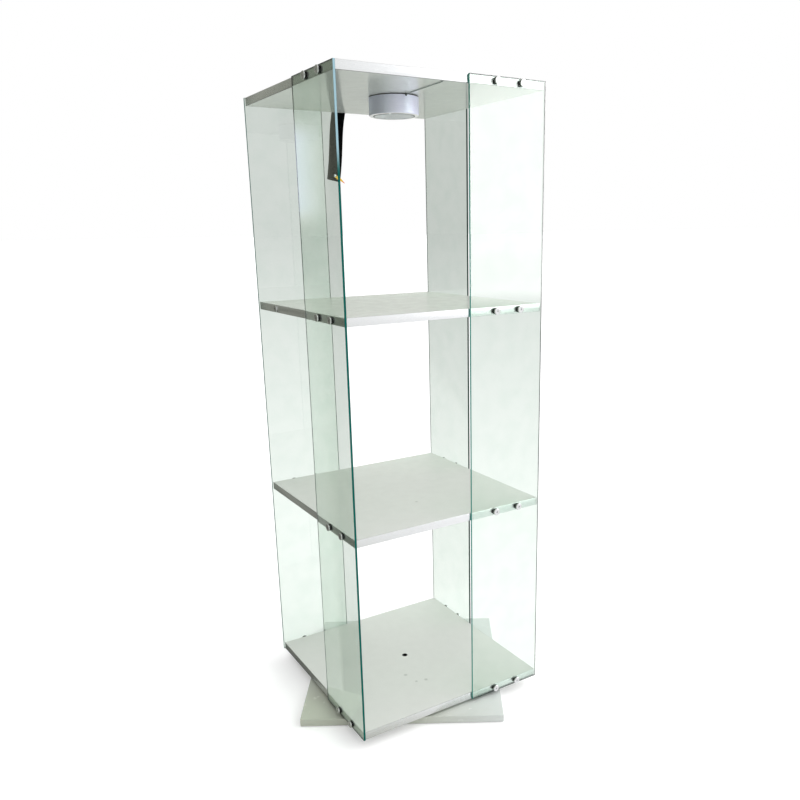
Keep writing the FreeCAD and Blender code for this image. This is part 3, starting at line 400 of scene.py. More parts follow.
@dataclass(frozen=True)
class Lacquer:
    """Sprayed satin lacquer on board: an even colour, a faint cloudiness and a fine peel."""

    name: str
    colour: str
    cloud_colour: str
    roughness: float
    cloud_mm: float = 160.0
    cloud_layers: Pair = (4.0, 0.6)
    cloud_reach: Pair = (0.1, 0.4)
    gloss_reach: Pair = (0.3, 0.7)
    gloss_span: Pair = (0.85, 1.2)
    peel_mm: float = 2.5
    peel_relief: Pair = (0.06, 0.05)
    speck_mm: float = 1.6
    # Colour and inner share of the dull marks. On the base board, the one broad mark is painted
    # shade.
    scuff_and_shade_colour: str = "#B4B8B3"
    scuff_and_shade_core: float = 0.3
    scuffs_and_shade: tuple[tuple[float, float, float, float], ...] = ()

    def scuffed_and_shaded(self, tree: Tree, colour: Socket) -> Socket:
        """Adds the small dull marks of things that stood on the board, and broad soft patches of
        painted shade.

        Args:
            tree: The material's node tree.
            colour: The lacquer's colour.

        Returns:
            The marked colour.
        """
        place = add_node(tree, "TexCoord").outputs["Object"]
        for *spot, radius in self.scuffs_and_shade:
            middle = tuple(value * MM for value in spot)
            gap = add_node(tree, "VectorMath", {"operation": "DISTANCE"}, {0: place, 1: middle})
            reach = (self.scuff_and_shade_core * radius * MM, radius * MM)
            colour = blend(tree, gap.outputs["Value"], reach, self.scuff_and_shade_colour, colour, True)
        return colour

    def make(self) -> bpy.types.Material:
        """Builds the material.

        Returns:
            The material.
        """
        material, tree, output = new_material(self.name)
        cloud = real_clouds(tree, (self.cloud_mm,) * 3, *self.cloud_layers)
        speck = real_clouds(tree, (self.speck_mm,) * 3, 1.0)
        both = add_node(tree, "Math", TIMES, {0: cloud, 1: speck}).outputs[0]
        colour = blend(tree, both, self.cloud_reach, self.colour, self.cloud_colour)
        span = [self.roughness * share for share in self.gloss_span]
        limits = dict(zip(RANGE, (cloud, *self.gloss_reach, *span)))
        gloss = add_node(tree, "MapRange", None, limits).outputs[0]
        peel = real_clouds(tree, (self.peel_mm,) * 3, 2.0)
        marked_and_shaded = self.scuffed_and_shaded(tree, colour)
        values = {"Base Color": marked_and_shaded, "Roughness": gloss, "IOR": 1.5}
        shader = relief_shader(tree, peel, self.peel_relief, values)
        tree.links.new(shader, output.inputs["Surface"])
        return material


@dataclass(frozen=True)
class BrushedMetal:
    """Metal brushed level: fine streaks that run round the piece, each a little lighter or
    darker and smoother or rougher than the next."""

    name: str
    light: str
    dark: str
    roughness: float
    streak_mm: float = 1.1
    streak_length_mm: float = 90.0
    streak_layers: Pair = (3.0, 0.7)
    streak_reach: Pair = (0.32, 0.68)
    gloss_span: Pair = (1.25, 0.8)
    relief: Pair = (0.15, 0.05)

    def make(self) -> bpy.types.Material:
        """Builds the material.

        Returns:
            The material.
        """
        material, tree, output = new_material(self.name)
        pitch = (self.streak_length_mm, self.streak_length_mm, self.streak_mm)
        streaks = real_clouds(tree, pitch, *self.streak_layers)
        colour = blend(tree, streaks, self.streak_reach, self.dark, self.light)
        span = [self.roughness * share for share in self.gloss_span]
        limits = dict(zip(RANGE, (streaks, *self.streak_reach, *span)))
        gloss = add_node(tree, "MapRange", None, limits).outputs[0]
        values = {"Base Color": colour, "Metallic": 1.0, "Roughness": gloss}
        shader = relief_shader(tree, streaks, self.relief, values)
        tree.links.new(shader, output.inputs["Surface"])
        return material


@dataclass(frozen=True)
class FloatGlass:
    """Clear float glass: nearly colourless through its thickness, with a faint green cast that
    shows where two panes lie behind each other, and a clear mirror image at a slant."""

    name: str
    tint: str
    smeared_tint: str
    smear_mm: float = 260.0
    roughness: float = 0.0
    clearness: float = 1.0
    smear_reach: Pair = (0.4, 0.7)

    def make(self) -> bpy.types.Material:
        """Builds the material.

        Returns:
            The material.
        """
        material, tree, output = new_material(self.name)
        smear = real_clouds(tree, (self.smear_mm,) * 3, 3.0)
        values = {
            "Base Color": blend(tree, smear, self.smear_reach, self.tint, self.smeared_tint),
            "Roughness": self.roughness,
            "IOR": 1.5,
            "Transmission Weight": self.clearness,
        }
        pane = add_node(tree, "BsdfPrincipled", None, values).outputs[0]
        lets = add_node(tree, "BsdfTransparent", None, {"Color": linear(self.tint)}).outputs[0]
        shadow = add_node(tree, "LightPath").outputs["Is Shadow Ray"]
        glass = add_node(tree, "MixShader", None, {0: shadow, 1: pane, 2: lets})
        tree.links.new(glass.outputs[0], output.inputs["Surface"])
        return material


@dataclass(frozen=True)
class GroundEdge:
    """The ground and polished edge of float glass: light that comes out there has crossed the
    pane's whole width, so it is deep green-blue, with fine marks of the wheel along it. The copies
    for the sides differ only in painted light and shade, and near the cabinet's top each fades to
    another colour, also painted light and shade."""

    name: str
    colour: str
    worn: str
    painted_top_shading: str
    fade_mm: Pair = (1535.0, 1605.0)
    mark_mm: float = 1.2
    mark_length_mm: float = 60.0
    roughness: float = 0.6
    relief: Pair = (0.2, 0.03)

    def make(self) -> bpy.types.Material:
        """Builds the material.

        Returns:
            The material.
        """
        material, tree, output = new_material(self.name)
        marks = real_clouds(tree, (self.mark_mm, self.mark_mm, self.mark_length_mm), 3.0)
        deep = blend(tree, marks, None, self.colour, self.worn)
        place = add_node(tree, "TexCoord").outputs["Object"]
        height = add_node(tree, "SeparateXYZ", None, {0: place}).outputs[2]
        reach = (self.fade_mm[0] * MM, self.fade_mm[1] * MM)
        values = {
            "Base Color": blend(tree, height, reach, deep, self.painted_top_shading, True),
            "Roughness": self.roughness,
            "Specular IOR Level": 0.0,
        }
        shader = relief_shader(tree, marks, self.relief, values)
        tree.links.new(shader, output.inputs["Surface"])
        return material


@dataclass(frozen=True)
class Webbing:
    """Woven polyester webbing: ribs of warp yarn that run lengthwise, crossed by the weft, dull
    black with a cool sheen painted in a lighter colour on the yarns' tops. The UV map is in
    millimetres. The yarns are about twice as coarse as real ones, so that they show."""

    name: str
    colour: str
    yarn_top_sheen: str
    warp_mm: float = 1.9
    weft_mm: float = 1.5
    roughness: float = 0.75
    fuzz_scale: float = 1.4
    relief: Pair = (0.7, 0.3)

    def make(self) -> bpy.types.Material:
        """Builds the material.

        Returns:
            The material.
        """
        material, tree, output = new_material(self.name)
        place = add_node(tree, "UVMap").outputs[0]
        ribs = []
        for pitch, direction in ((self.warp_mm, "X"), (self.weft_mm, "Y")):
            # A wave at scale 1 repeats every pi/10 of its vector, so this gives the pitch.
            scale = math.pi / 10 / pitch
            shape = {"Vector": place, "Scale": scale, "Distortion": 0.4, "Detail": 1.0}
            waves = add_node(tree, "TexWave", {"bands_direction": direction}, shape)
            ribs.append(waves.outputs["Fac"])
        yarn = add_node(tree, "Math", TIMES, {0: ribs[0], 1: ribs[1]}).outputs[0]
        shape = {"Vector": place, "Scale": self.fuzz_scale, "Detail": 3.0}
        fuzz = add_node(tree, "TexNoise", None, shape).outputs[0]
        share = add_node(tree, "Math", TIMES, {0: yarn, 1: fuzz}).outputs[0]
        values = {
            # The yarns' tops take a lighter colour, a painted sheen.
            "Base Color": blend(tree, share, None, self.colour, self.yarn_top_sheen),
            "Roughness": self.roughness,
            "IOR": 1.12,
            "Sheen Weight": 0.015,
            "Sheen Roughness": 0.4,
        }
        shader = relief_shader(tree, yarn, self.relief, values)
        tree.links.new(shader, output.inputs["Surface"])
        return material


@dataclass(frozen=True)
class DyedTag:
    """Moulded tag plastic, one colour over most of its length and another at the tip, with a
    satin skin. The UV map runs from 0 at the rivet to 1 at the tip."""

    name: str
    colour: str
    tip_colour: str
    tip_reach: Pair = (0.72, 0.82)
    roughness: float = 0.42
    grain_mm: float = 0.7
    relief: Pair = (0.25, 0.03)

    def make(self) -> bpy.types.Material:
        """Builds the material.

        Returns:
            The material.
        """
        material, tree, output = new_material(self.name)
        place = add_node(tree, "UVMap").outputs[0]
        along = add_node(tree, "SeparateXYZ", None, {0: place}).outputs[0]
        colour = blend(tree, along, self.tip_reach, self.colour, self.tip_colour, True)
        grain = real_clouds(tree, (self.grain_mm,) * 3, 2.0)
        values = {"Base Color": colour, "Roughness": self.roughness, "IOR": 1.49}
        shader = relief_shader(tree, grain, self.relief, values)
        tree.links.new(shader, output.inputs["Surface"])
        return material


@dataclass(frozen=True)
class Plain:
    """A moulded, turned or cast finish with one colour and a fine grain."""

    name: str
    colour: str
    roughness: float
    metallic: float = 0.0
    grain_mm: float = 0.8
    grain_depth_mm: float = 0.02
    grain_strength: float = 0.3
    grain_dark: float = 0.8

    def make(self) -> bpy.types.Material:
        """Builds the material.

        Returns:
            The material.
        """
        material, tree, output = new_material(self.name)
        grain = real_clouds(tree, (self.grain_mm,) * 3, 3.0)
        base = linear(self.colour)
        darker = (*(value * self.grain_dark for value in base[:3]), 1.0)
        values = {
            "Base Color": blend(tree, grain, None, darker, base),
            "Metallic": self.metallic,
            "Roughness": self.roughness,
        }
        if not self.metallic:
            values["IOR"] = 1.5
        relief = (self.grain_strength, self.grain_depth_mm)
        shader = relief_shader(tree, grain, relief, values)
        tree.links.new(shader, output.inputs["Surface"])
        return material


# ---------------------------------------------------------------------------------------------
# Studio
# ---------------------------------------------------------------------------------------------


@dataclass
class Viewpoint:
    """The camera: a standing person's view of the cabinet's front left corner."""

    distance: float = 2.3166
    azimuth: float = 0.5056
    height: float = 1.4067
    heading: float = 0.5648
    pitch: float = 0.2583
    roll: float = -0.0147
    focal_pixels: float = 781.1
    centre_u: float = 443.1
    centre_v: float = 437.3
    sensor_mm: float = 36.0

    def place(self) -> None:
        """Makes the camera and sets it as the scene's."""
        sine, cosine = math.sin(self.heading), math.cos(self.heading)
        level = math.cos(self.pitch)
        ahead = Vector((sine * level, cosine * level, -math.sin(self.pitch)))
        right = Vector((cosine, -sine, 0.0))
        up = right.cross(ahead)
        tilted_right = math.cos(self.roll) * right + math.sin(self.roll) * up
        tilted_up = math.cos(self.roll) * up - math.sin(self.roll) * right
        data = bpy.data.cameras.new("view")
        data.sensor_width = self.sensor_mm
        data.lens = self.focal_pixels / IMAGE_WIDTH * self.sensor_mm
        data.shift_x = 0.5 - self.centre_u / IMAGE_WIDTH
        data.shift_y = self.centre_v / IMAGE_WIDTH - 0.5
        camera = bpy.data.objects.new("view", data)
        bpy.context.scene.collection.objects.link(camera)
        turned = Matrix((tilted_right, tilted_up, -ahead)).transposed().to_4x4()
        sideways = -self.distance * math.sin(self.azimuth)
        place = Vector((sideways, -self.distance * math.cos(self.azimuth), self.height))
        camera.matrix_world = Matrix.Translation(place) @ turned
        bpy.context.scene.camera = camera


@dataclass
class Studio:
    """A pale room: a white floor without an end, soft even light, a backdrop that is a little
    greyer higher up and, for metal and glass to mirror, a bright front right with a window and
    a dark back left. The panes also mirror a pale door behind on the left."""

    floor_half: float = 300.0
    floor_colour: str = "#EDEDED"
    floor_lift: float = 0.22
    glass_lift: float = 0.1
    dark_side: float = 0.42
    bright_side: float = 1.46
    bright_toward: Triple = (0.93, -0.25, 0.3)
    light_reach: Pair = (-0.9, 0.7)
    dark_tint: str = "#F9FFE4"
    mirrored_dark: float = 0.09
    mirrored_dark_high: float = 0.19
    mirrored_bright: float = 1.16
    mirrored_toward: Triple = (0.85, -0.53, 0.0)
    mirrored_share: Pair = (0.9, 1.0)
    window_toward: Triple = (0.71, -0.70, 0.12)
    window_reach: Pair = (0.935, 0.975)
    window_flatness: float = 2.0
    window_level: float = 2.3
    window_foot: Pair = (18.0, 70.0)
    pane_window_level: float = 6.0
    pane_window_foot: Pair = (12.0, 18.0)
    door_toward: Triple = (-0.259, 0.966, 0.0)
    door_reach: Pair = (0.9845, 0.9925)
    door_level: float = 2.3
    door_foot: Pair = (9.0, 30.0)
    door_foot_share: float = 0.3
    door_middle: float = 0.07
    door_half: Pair = (0.035, 0.07)
    door_tint: str = "#DDE4FF"
    door_pane: Triple = (-0.306, -0.18, 0.0)
    backdrop_high: float = 0.68
    half_way: float = 3.6
    sun_strength: float = 1.15
    sun_angle: float = 50.0
    sun_from: Triple = (0.9, -0.5, 0.6)

    def mirrored(
        self,
        tree: Tree,
        toward: Socket,
        past_pane: Socket,
        dark: float,
        opening: Socket | float,
        door_share: Socket,
    ) -> tuple[Socket, Socket]:
        """How the room looks where metal and glass mirror it: an even fall from a white front
        right to a dark olive back left, a broad soft window in the front right and, off the
        panes' outer faces alone, a pale door behind on the left.

        Args:
            tree: The node tree.
            toward: The direction in the room.
            past_pane: The direction in the room from the left pane.
            dark: The brightness at the back left.
            opening: How much of the window shows.
            door_share: How much of the door shows.

        Returns:
            The brightness and the colour.
        """
        sharp = self.off_glass(tree)
        ends = {0: sharp, 2: self.window_level, 3: self.pane_window_level}
        strength = add_node(tree, "Mix", NUMBERS, ends).outputs[0]
        ways = []
        for way, height in ((toward, self.window_flatness), (past_pane, 0.0)):
            shaped = add_node(tree, "VectorMath", TIMES, {0: way, 1: (1.0, 1.0, height)})
            ways.append(add_node(tree, "VectorMath", UNIT, {0: shaped.outputs[0]}).outputs[0])
        levels = []
        for way, middle, settings, limits in (
            (toward, self.mirrored_toward, None, (-1.0, 1.0, dark, self.mirrored_bright)),
            (ways[0], self.window_toward, SMOOTH, (*self.window_reach, 0.0, strength)),
            (ways[1], self.door_toward, SMOOTH, (*self.door_reach, 0.0, 1.0)),
        ):
            unit = tuple(Vector(middle).normalized())
            dot = add_node(tree, "VectorMath", {"operation": "DOT_PRODUCT"}, {0: way, 1: unit})
            inputs = dict(zip(RANGE, (dot.outputs["Value"], *limits)))
            levels.append(add_node(tree, "MapRange", settings, inputs).outputs[0])
        room, window, door = levels
        level = add_node(tree, "Math", TIMES_PLUS, {0: window, 1: opening, 2: room}).outputs[0]
        for share in (sharp, door_share):
            door = add_node(tree, "Math", TIMES, {0: door, 1: share}).outputs[0]
        sums = {0: door, 1: self.door_level, 2: level}
        level = add_node(tree, "Math", TIMES_PLUS, sums).outputs[0]
        tint = blend(tree, room, None, self.dark_tint, WHITE)
        return level, blend(tree, door, None, tint, self.door_tint)

    def off_glass(self, tree: Tree) -> Socket:
        """Finds the rays that a pane's outer face mirrors, which show the window stronger.

        Args:
            tree: The node tree.

        Returns:
            A value of 1 for such a ray.
        """
        path = add_node(tree, "LightPath").outputs
        outer = add_node(tree, "Math", BELOW, {0: path["Transmission Depth"], 1: 0.5}).outputs[0]
        return add_node(tree, "Math", TIMES, {0: path["Is Singular Ray"], 1: outer}).outputs[0]

    def ray_kinds(self, tree: Tree) -> tuple[Socket, Socket, Socket]:
        """Tells apart what a ray has met, by its counts of bounces.

        Args:
            tree: The node tree.

        Returns:
            Values of 1 for a ray that shows a thing straight, one that shows it through glass
            and one that shows it mirrored.
        """
        path = add_node(tree, "LightPath").outputs
        straight = add_node(tree, "Math", BELOW, {0: path["Diffuse Depth"], 1: 0.5}).outputs[0]
        clear = add_node(tree, "Math", TIMES, {0: path["Is Glossy Ray"], 1: straight}).outputs[0]
        # A ray bent by glass counts as glossy too, but it adds nothing to the glossy depth.
        bent = add_node(tree, "Math", BELOW, {0: path["Glossy Depth"], 1: 0.5}).outputs[0]
        through = add_node(tree, "Math", TIMES, {0: clear, 1: bent}).outputs[0]
        mirrored = add_node(tree, "Math", MINUS, {0: clear, 1: through}).outputs[0]
        return path["Is Camera Ray"], through, mirrored

    def make_floor(self) -> None:
        """A white floor that keeps the cabinet's shadow. Far off it takes the backdrop's grey
        where glass shows it and the room's brightness where it is mirrored."""
        mesh = bmesh.new()
        bmesh.ops.create_grid(mesh, x_segments=1, y_segments=1, size=self.floor_half)
        floor = finish_mesh(mesh, "floor")
        material, tree, output = new_material("floor_paint")
        place = add_node(tree, "TexCoord").outputs["Object"]
        reach = add_node(tree, "VectorMath", {"operation": "LENGTH"}, {0: place}).outputs["Value"]
        beyond = add_node(tree, "Math", {"operation": "ADD"}, {0: reach, 1: self.half_way})
        away = add_node(tree, "Math", {"operation": "DIVIDE"}, {0: reach, 1: beyond.outputs[0]})
        far = away.outputs[0]
        limits = dict(zip(RANGE, (far, 0.0, 1.0, *self.mirrored_share)))
        mostly = add_node(tree, "MapRange", None, limits).outputs[0]
        feet = (
            (*self.window_foot, 0.0, 1.0),
            (*self.pane_window_foot, 0.0, 1.0),
            (*self.door_foot, self.door_foot_share, 0.0),
        )
        rough, clear, door = (
            add_node(tree, "MapRange", SMOOTH, dict(zip(RANGE, (reach, *foot)))).outputs[0]
            for foot in feet
        )
        ends = {0: self.off_glass(tree), 2: rough, 3: clear}
        opening = add_node(tree, "Mix", NUMBERS, ends).outputs[0]
        toward = add_node(tree, "VectorMath", UNIT, {0: place}).outputs[0]
        beside = add_node(tree, "VectorMath", MINUS, {0: place, 1: self.door_pane}).outputs[0]
        mirrored = self.mirrored(tree, toward, beside, self.mirrored_dark, opening, door)
        paint = add_node(tree, "BsdfDiffuse", None, {"Color": linear(self.floor_colour)})
        shown = paint.outputs[0]
        whites = []
        for strength in (self.floor_lift, self.glass_lift):
            lift = add_node(tree, "Emission", None, {"Strength": strength}).outputs[0]
            whites.append(add_node(tree, "AddShader", None, {0: shown, 1: lift}).outputs[0])
        looks = [whites[0]]
        for share, level, colour in ((far, self.backdrop_high, WHITE), (mostly, *mirrored)):
            distant = add_node(tree, "Emission", None, {"Color": colour, "Strength": level})
            parts = {0: share, 1: whites[1], 2: distant.outputs[0]}
            looks.append(add_node(tree, "MixShader", None, parts).outputs[0])
        for kind, look in zip(self.ray_kinds(tree), looks):
            shown = add_node(tree, "MixShader", None, {0: kind, 1: shown, 2: look}).outputs[0]
        tree.links.new(shown, output.inputs["Surface"])
        material.cycles.emission_sampling = "NONE"
        dress(floor, material)

    def make_world(self) -> None:
        """White where it is seen, greyer higher up behind glass, the mirrored room for metal
        and glass, and a soft fall from front to back as light."""
        world = bpy.data.worlds.new("studio")
        bpy.context.scene.world = world
        world.use_nodes = True
        tree = world.node_tree
        tree.nodes.clear()
        output = tree.nodes.new("ShaderNodeOutputWorld")
        place = add_node(tree, "TexCoord").outputs["Generated"]
        bright = tuple(Vector(self.bright_toward).normalized())
        lit = add_node(tree, "VectorMath", {"operation": "DOT_PRODUCT"}, {0: place, 1: bright})
        rise = add_node(tree, "SeparateXYZ", None, {0: place}).outputs[2]
        apart = add_node(tree, "Math", MINUS, {0: rise, 1: self.door_middle}).outputs[0]
        aside = add_node(tree, "Math", {"operation": "ABSOLUTE"}, {0: apart}).outputs[0]
        falls = (
            (lit.outputs["Value"], *self.light_reach, self.dark_side, self.bright_side),
            (aside, *self.door_half, 1.0, 0.0),
        )
        shown, door = (
            add_node(tree, "MapRange", SMOOTH, dict(zip(RANGE, fall))).outputs[0] for fall in falls
        )
        kinds = self.ray_kinds(tree)
        mirrored, tint = self.mirrored(tree, place, place, self.mirrored_dark_high, 1.0, door)
        for kind, level in zip(kinds, (1.0, self.backdrop_high, mirrored)):
            shown = add_node(tree, "Mix", NUMBERS, {0: kind, 2: shown, 3: level}).outputs[0]
        colour = blend(tree, kinds[2], None, WHITE, tint)
        light = add_node(tree, "Background", None, {"Color": colour, "Strength": shown})
        tree.links.new(light.outputs[0], output.inputs["Surface"])

    def make_sun(self) -> None:
        """One broad soft lamp from above, in front and to the right."""
        data = bpy.data.lights.new("soft_sun", "SUN")
        data.energy = self.sun_strength
        data.angle = math.radians(self.sun_angle)
        lamp = bpy.data.objects.new("soft_sun", data)
        bpy.context.scene.collection.objects.link(lamp)
        direction = -Vector(self.sun_from)
        lamp.rotation_euler = direction.to_track_quat("-Z", "Y").to_euler()

    def build(self) -> None:
        """Makes the floor, the world and the lamp."""
        bpy.context.scene.view_settings.view_transform = "Standard"
        self.make_floor()
        self.make_world()
        self.make_sun()


# ---------------------------------------------------------------------------------------------
# Finishes by material slot
# ---------------------------------------------------------------------------------------------

FINISHES = {
    # Grey board lacquer, satin: the base board's calm face, with a broad painted shade that
    # darkens it towards its left corner.
    "base_lacquer": Lacquer(
        "base_lacquer",
        "#CFD4D2",
        "#D3D8D6",
        0.24,
        scuff_and_shade_colour="#B3B7A9",
        # A broad soft patch of painted shade over the base board's left corner.
        scuffs_and_shade=((-420.0, -230.0, 20.0, 640.0),),
    ),
    # Black moulded plastic, matt and lightly grained: a dark line of shadow under the base.
    "glide_plastic": Plain("moulded_glide_plastic", "#202020", 0.6),
    # Turned steel: a dull silver gleam in the gap between base and bottom shelf.
    "bearing_steel": Plain("turned_bearing_steel", "#9A9C9E", 0.35, 1.0),
    # Zinc-plated steel: screw heads a little paler than the rings they hold.
    "zinc_steel": Plain("zinc_plated_steel", "#A8ABAE", 0.4, 1.0),
    # Moulded cage plastic: a cream ring between the balls.
    "cage_plastic": Plain("moulded_cage_plastic", "#D8D6CC", 0.5),
    # Polished steel: small bright points on the balls.
    "polished_steel": Plain("polished_ball_steel", "#B4B6B8", 0.12, 1.0),
    # Silver-grey board lacquer: an even satin face with a soft sheen and a few dull scuffs.
    "shelf_lacquer": Lacquer(
        "shelf_lacquer",
        "#CDD0CB",
        "#D1D4CF",
        0.22,
        scuffs_and_shade=(
            (-58.0, -106.0, 54.0, 8.0),
            (-48.0, -156.0, 54.0, 6.0),
            (-18.0, -164.0, 54.0, 8.0),
            (-16.0, -128.0, 630.0, 6.0),
        ),
    ),
    # Aluminium brushed lengthwise: white towards the light and dark olive away from it.
    "edging_aluminium": BrushedMetal("brushed_edging", "#F2F3F4", "#DCDEE0", 0.28),
    # Float glass: clear, with a faint green cast that deepens where panes overlap.
    "clear_glass": FloatGlass("float_glass", "#F3FBF5", "#EEF8F1"),
    # Polished steel caps: half black and half white from the mirrored room.
    "cap_steel": Plain("polished_cap_steel", "#E2E3E4", 0.12, 1.0, 0.6, 0.004),
    # Black nylon: the thin dark ring between cap and glass.
    "sleeve_plastic": Plain("black_nylon", "#0B0B0C", 0.4),
    # Turned brass: a warm glint where a screw hole lies open.
    "insert_brass": Plain("turned_brass", "#B5924A", 0.3, 1.0),
    # Aluminium brushed round the drum, tinted lavender as a painted reflection of the room: a
    # broad cool highlight that fades to grey.
    "lamp_aluminium": BrushedMetal("brushed_lamp_drum", "#F0F1FF", "#DFE0F5", 0.42),
    # Pressed lens glass: cloudy and fluted, so that it takes the underside's grey.
    "lens_glass": FloatGlass("pressed_lens_glass", "#F0F7FB", "#E9F1F6", 12.0, 0.12, 0.45),
    # Black rubber, quite matt: the lamp's gasket, and dark rings round the lens and over the drum
    # whose black is a painted shade in those gaps.
    "gasket_rubber": Plain("gasket_rubber", "#111111", 0.8),
    # Dimpled reflector metal: broken bright facets behind the lens.
    "reflector_mirror": Plain("dimpled_reflector", "#D6DAD8", 0.2, 1.0, 7.0, 0.6),
    # White ceramic, half glossy: a pale block behind the bulb.
    "holder_plastic": Plain("ceramic_holder", "#CFCFC8", 0.4),
    # Frosted bulb glass: a soft white spot.
    "bulb_glass": Plain("frosted_bulb_glass", "#F6F6F2", 0.3),
    # Grey moulded plastic: the lead's thin line on the underside.
    "lead_plastic": Plain("moulded_lead_plastic", "#7B8582", 0.35),
    # Polyester webbing: deep dull black with fine ribs.
    "strap_webbing": Webbing("black_webbing", "#030405", "#0E1214"),
    # Pressed steel: the rivet's small bright dome.
    "rivet_steel": Plain("pressed_rivet_steel", "#C4C6C8", 0.25, 1.0),
    # Dyed tag plastic: yellow with an orange tip, satin.
    "tag_plastic": DyedTag("moulded_tag_plastic", "#F2BE14", "#E8641A"),
}

# Materials of details that have no slot of their own in the record.
TRIMMINGS = {
    # Dark dull grey on each strip's downward faces: a painted shadow line along the strip's lower
    # edge.
    "strip_shadow_paint": Plain("painted_shadow_under_edging", "#4B4E4C", 0.6),
    # Twisted black thread: raised dark stitches on the webbing.
    "strap_thread": Plain("black_thread", "#0C0E10", 0.6),
    # White, a painted highlight: the lamp's pale rim under the drum and the clip at the lens.
    "rim_painted_highlight": Plain("white_painted_highlight", "#FAFBFC", 0.25, 0.0, 0.8, 0.005),
    # The same board lacquer rubbed glossier, and darker as a painted shade on the top's underside,
    # which mirrors the lamp's drum.
    "shaded_top_lacquer": Lacquer("shaded_top_lacquer", "#BCC1BD", "#C1C6C2", 0.13),
}

# Ground float glass, seen end on, in copies that differ by painted light and shade: deep teal on
# the edges turned to the viewer's side of the room, a painted pale light at the top of the near
# corner, and a painted grey-green shade on the edges turned away.
EDGES = {
    "left": GroundEdge("ground_edge_deep", "#0A4A44", "#125F57", "#93B3BE"),
    "front": GroundEdge("ground_edge_painted_light", "#43897F", "#5B9F94", "#3A7A6C"),
    "right": GroundEdge("ground_edge_shaded", "#2C3A36", "#394843", "#34423D"),
    "back": GroundEdge("ground_edge_far_painted_shade", "#46645C", "#56746B", "#506E66"),
    # Painted shade for the edges turned away from the light.
    "dull": GroundEdge("ground_edge_painted_shade", "#3B4744", "#4A5753", "#454E4B"),
}


# ---------------------------------------------------------------------------------------------
# Pieces
# ---------------------------------------------------------------------------------------------


class Side(Enum):
    """The cabinet's four sides, each by the direction it faces."""

    FRONT = (0, -1)
    RIGHT = (1, 0)
    BACK = (0, 1)
    LEFT = (-1, 0)

    @property
    def title(self) -> str:
        """The side's name in the names of nodes."""
        return self.name.lower()

    @property
    def outward(self) -> Vector:
        """The direction that the side faces."""
        return Vector((*self.value, 0.0))

    @property
    def across(self) -> int:
        """Index of the axis that runs along the side: 0 for X and 1 for Y."""
        return 1 if self.value[0] else 0


@dataclass
class Boards:
    """The base board, the four boards of the cabinet and the metal strips round them. The strips'
    downward faces carry a dark painted shadow line, and on the top's strips, seen from below, the
    whole lower arris is painted so."""

    materials: Materials
    titles: tuple[str, ...] = ("bottom_shelf", "lower_shelf", "upper_shelf", "top")
    long_edge_mm: float = 20.0
    arris_mm: float = 0.6
    set_back_mm: float = 0.15
    touch_mm: float = 0.01
    base_round_mm: float = 1.2
    shaded_below: float = -0.8
    top_shaded_below: float = -0.3

    def make_edging(self, title: str) -> None:
        """The strips on one board, with eased outer edges, a hair clear of the glass.

        Args:
            title: The board's name.
        """
        node = f"{title}_edging"
        mesh = merged_copy(node)
        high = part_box(node)[1]
        outer = max(high[0], high[1]) - self.touch_mm * MM
        for vert in mesh.verts:
            for axis in (0, 1):
                if abs(vert.co[axis]) > outer:
                    vert.co[axis] -= math.copysign(self.set_back_mm * MM, vert.co[axis])
        face = outer - 2 * self.set_back_mm * MM
        edges = [
            edge
            for edge in long_sharp_edges(mesh, self.long_edge_mm)
            if all(max(abs(vert.co.x), abs(vert.co.y)) > face for vert in edge.verts)
        ]
        ease(mesh, edges, self.arris_mm, 2)
        bmesh.ops.recalc_face_normals(mesh, faces=mesh.faces)
        # Faces that point down take the dark painted shadow line.
        downward = self.top_shaded_below if title == "top" else self.shaded_below
        for face in mesh.faces:
            face.material_index = int(face.normal.z < downward)
        finishes = [self.materials["edging_aluminium"], self.materials["strip_shadow_paint"]]
        hand_over(mesh, f"{title}_strips", finishes, "edging_aluminium", node)

    def build(self) -> None:
        """Builds the base board, with its lacquered edges rounded over, and all the strips."""
        mesh = merged_copy("base_board")
        ease(mesh, long_sharp_edges(mesh, self.long_edge_mm), self.base_round_mm, 3)
        finishes = [self.materials["base_lacquer"]]
        names = ("base_lacquer", "base_board")
        hand_over(mesh, "rounded_base_board", finishes, *names, body="base")
        for title in self.titles:
            self.make_edging(title)


@dataclass
class GlassPanels:
    """The four tall glass panels with ground edges and small arrises. The upright edge that each
    panel turns to the front or to the left takes its side's painted lit colour, and the others a
    painted dull shade."""

    pane: bpy.types.Material
    edges: Materials
    lit_toward: Triple = (-0.707, -0.707, 0.0)
    long_edge_mm: float = 20.0
    arris_mm: float = 0.9
    face_turn: float = 0.9
    lit_turn: float = 0.1
    smooth_angle: float = 20.0

    def make_panel(self, side: Side) -> None:
        """One panel: clear on its two faces and ground on its edges and round its holes.

        Args:
            side: The side it stands on.
        """
        node = f"{side.title}_glass_panel"
        mesh = merged_copy(node)
        ease(mesh, long_sharp_edges(mesh, self.long_edge_mm), self.arris_mm, 1)
        bmesh.ops.recalc_face_normals(mesh, faces=mesh.faces)
        low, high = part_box(node)
        ends = (low[side.across] + MM, high[side.across] - MM)
        toward = Vector(self.lit_toward)
        for face in mesh.faces:
            along = face.calc_center_median()[side.across]
            if abs(face.normal.dot(side.outward)) > self.face_turn:
                face.material_index = 0
            # Upright edges turned to the front or left take the painted lit colour, and the rest a
            # painted shade.
            elif face.normal.dot(toward) > self.lit_turn and not ends[0] < along < ends[1]:
                face.material_index = 1
            else:
                face.material_index = 2
        finishes = [self.pane, self.edges[side.title], self.edges["dull"]]
        name = f"{side.title}_pane"
        smooth = self.smooth_angle
        hand_over(mesh, name, finishes, "clear_glass", node, smooth_angle=smooth)

    def build(self) -> None:
        """Builds the panel of each side."""
        for side in Side:
            self.make_panel(side)


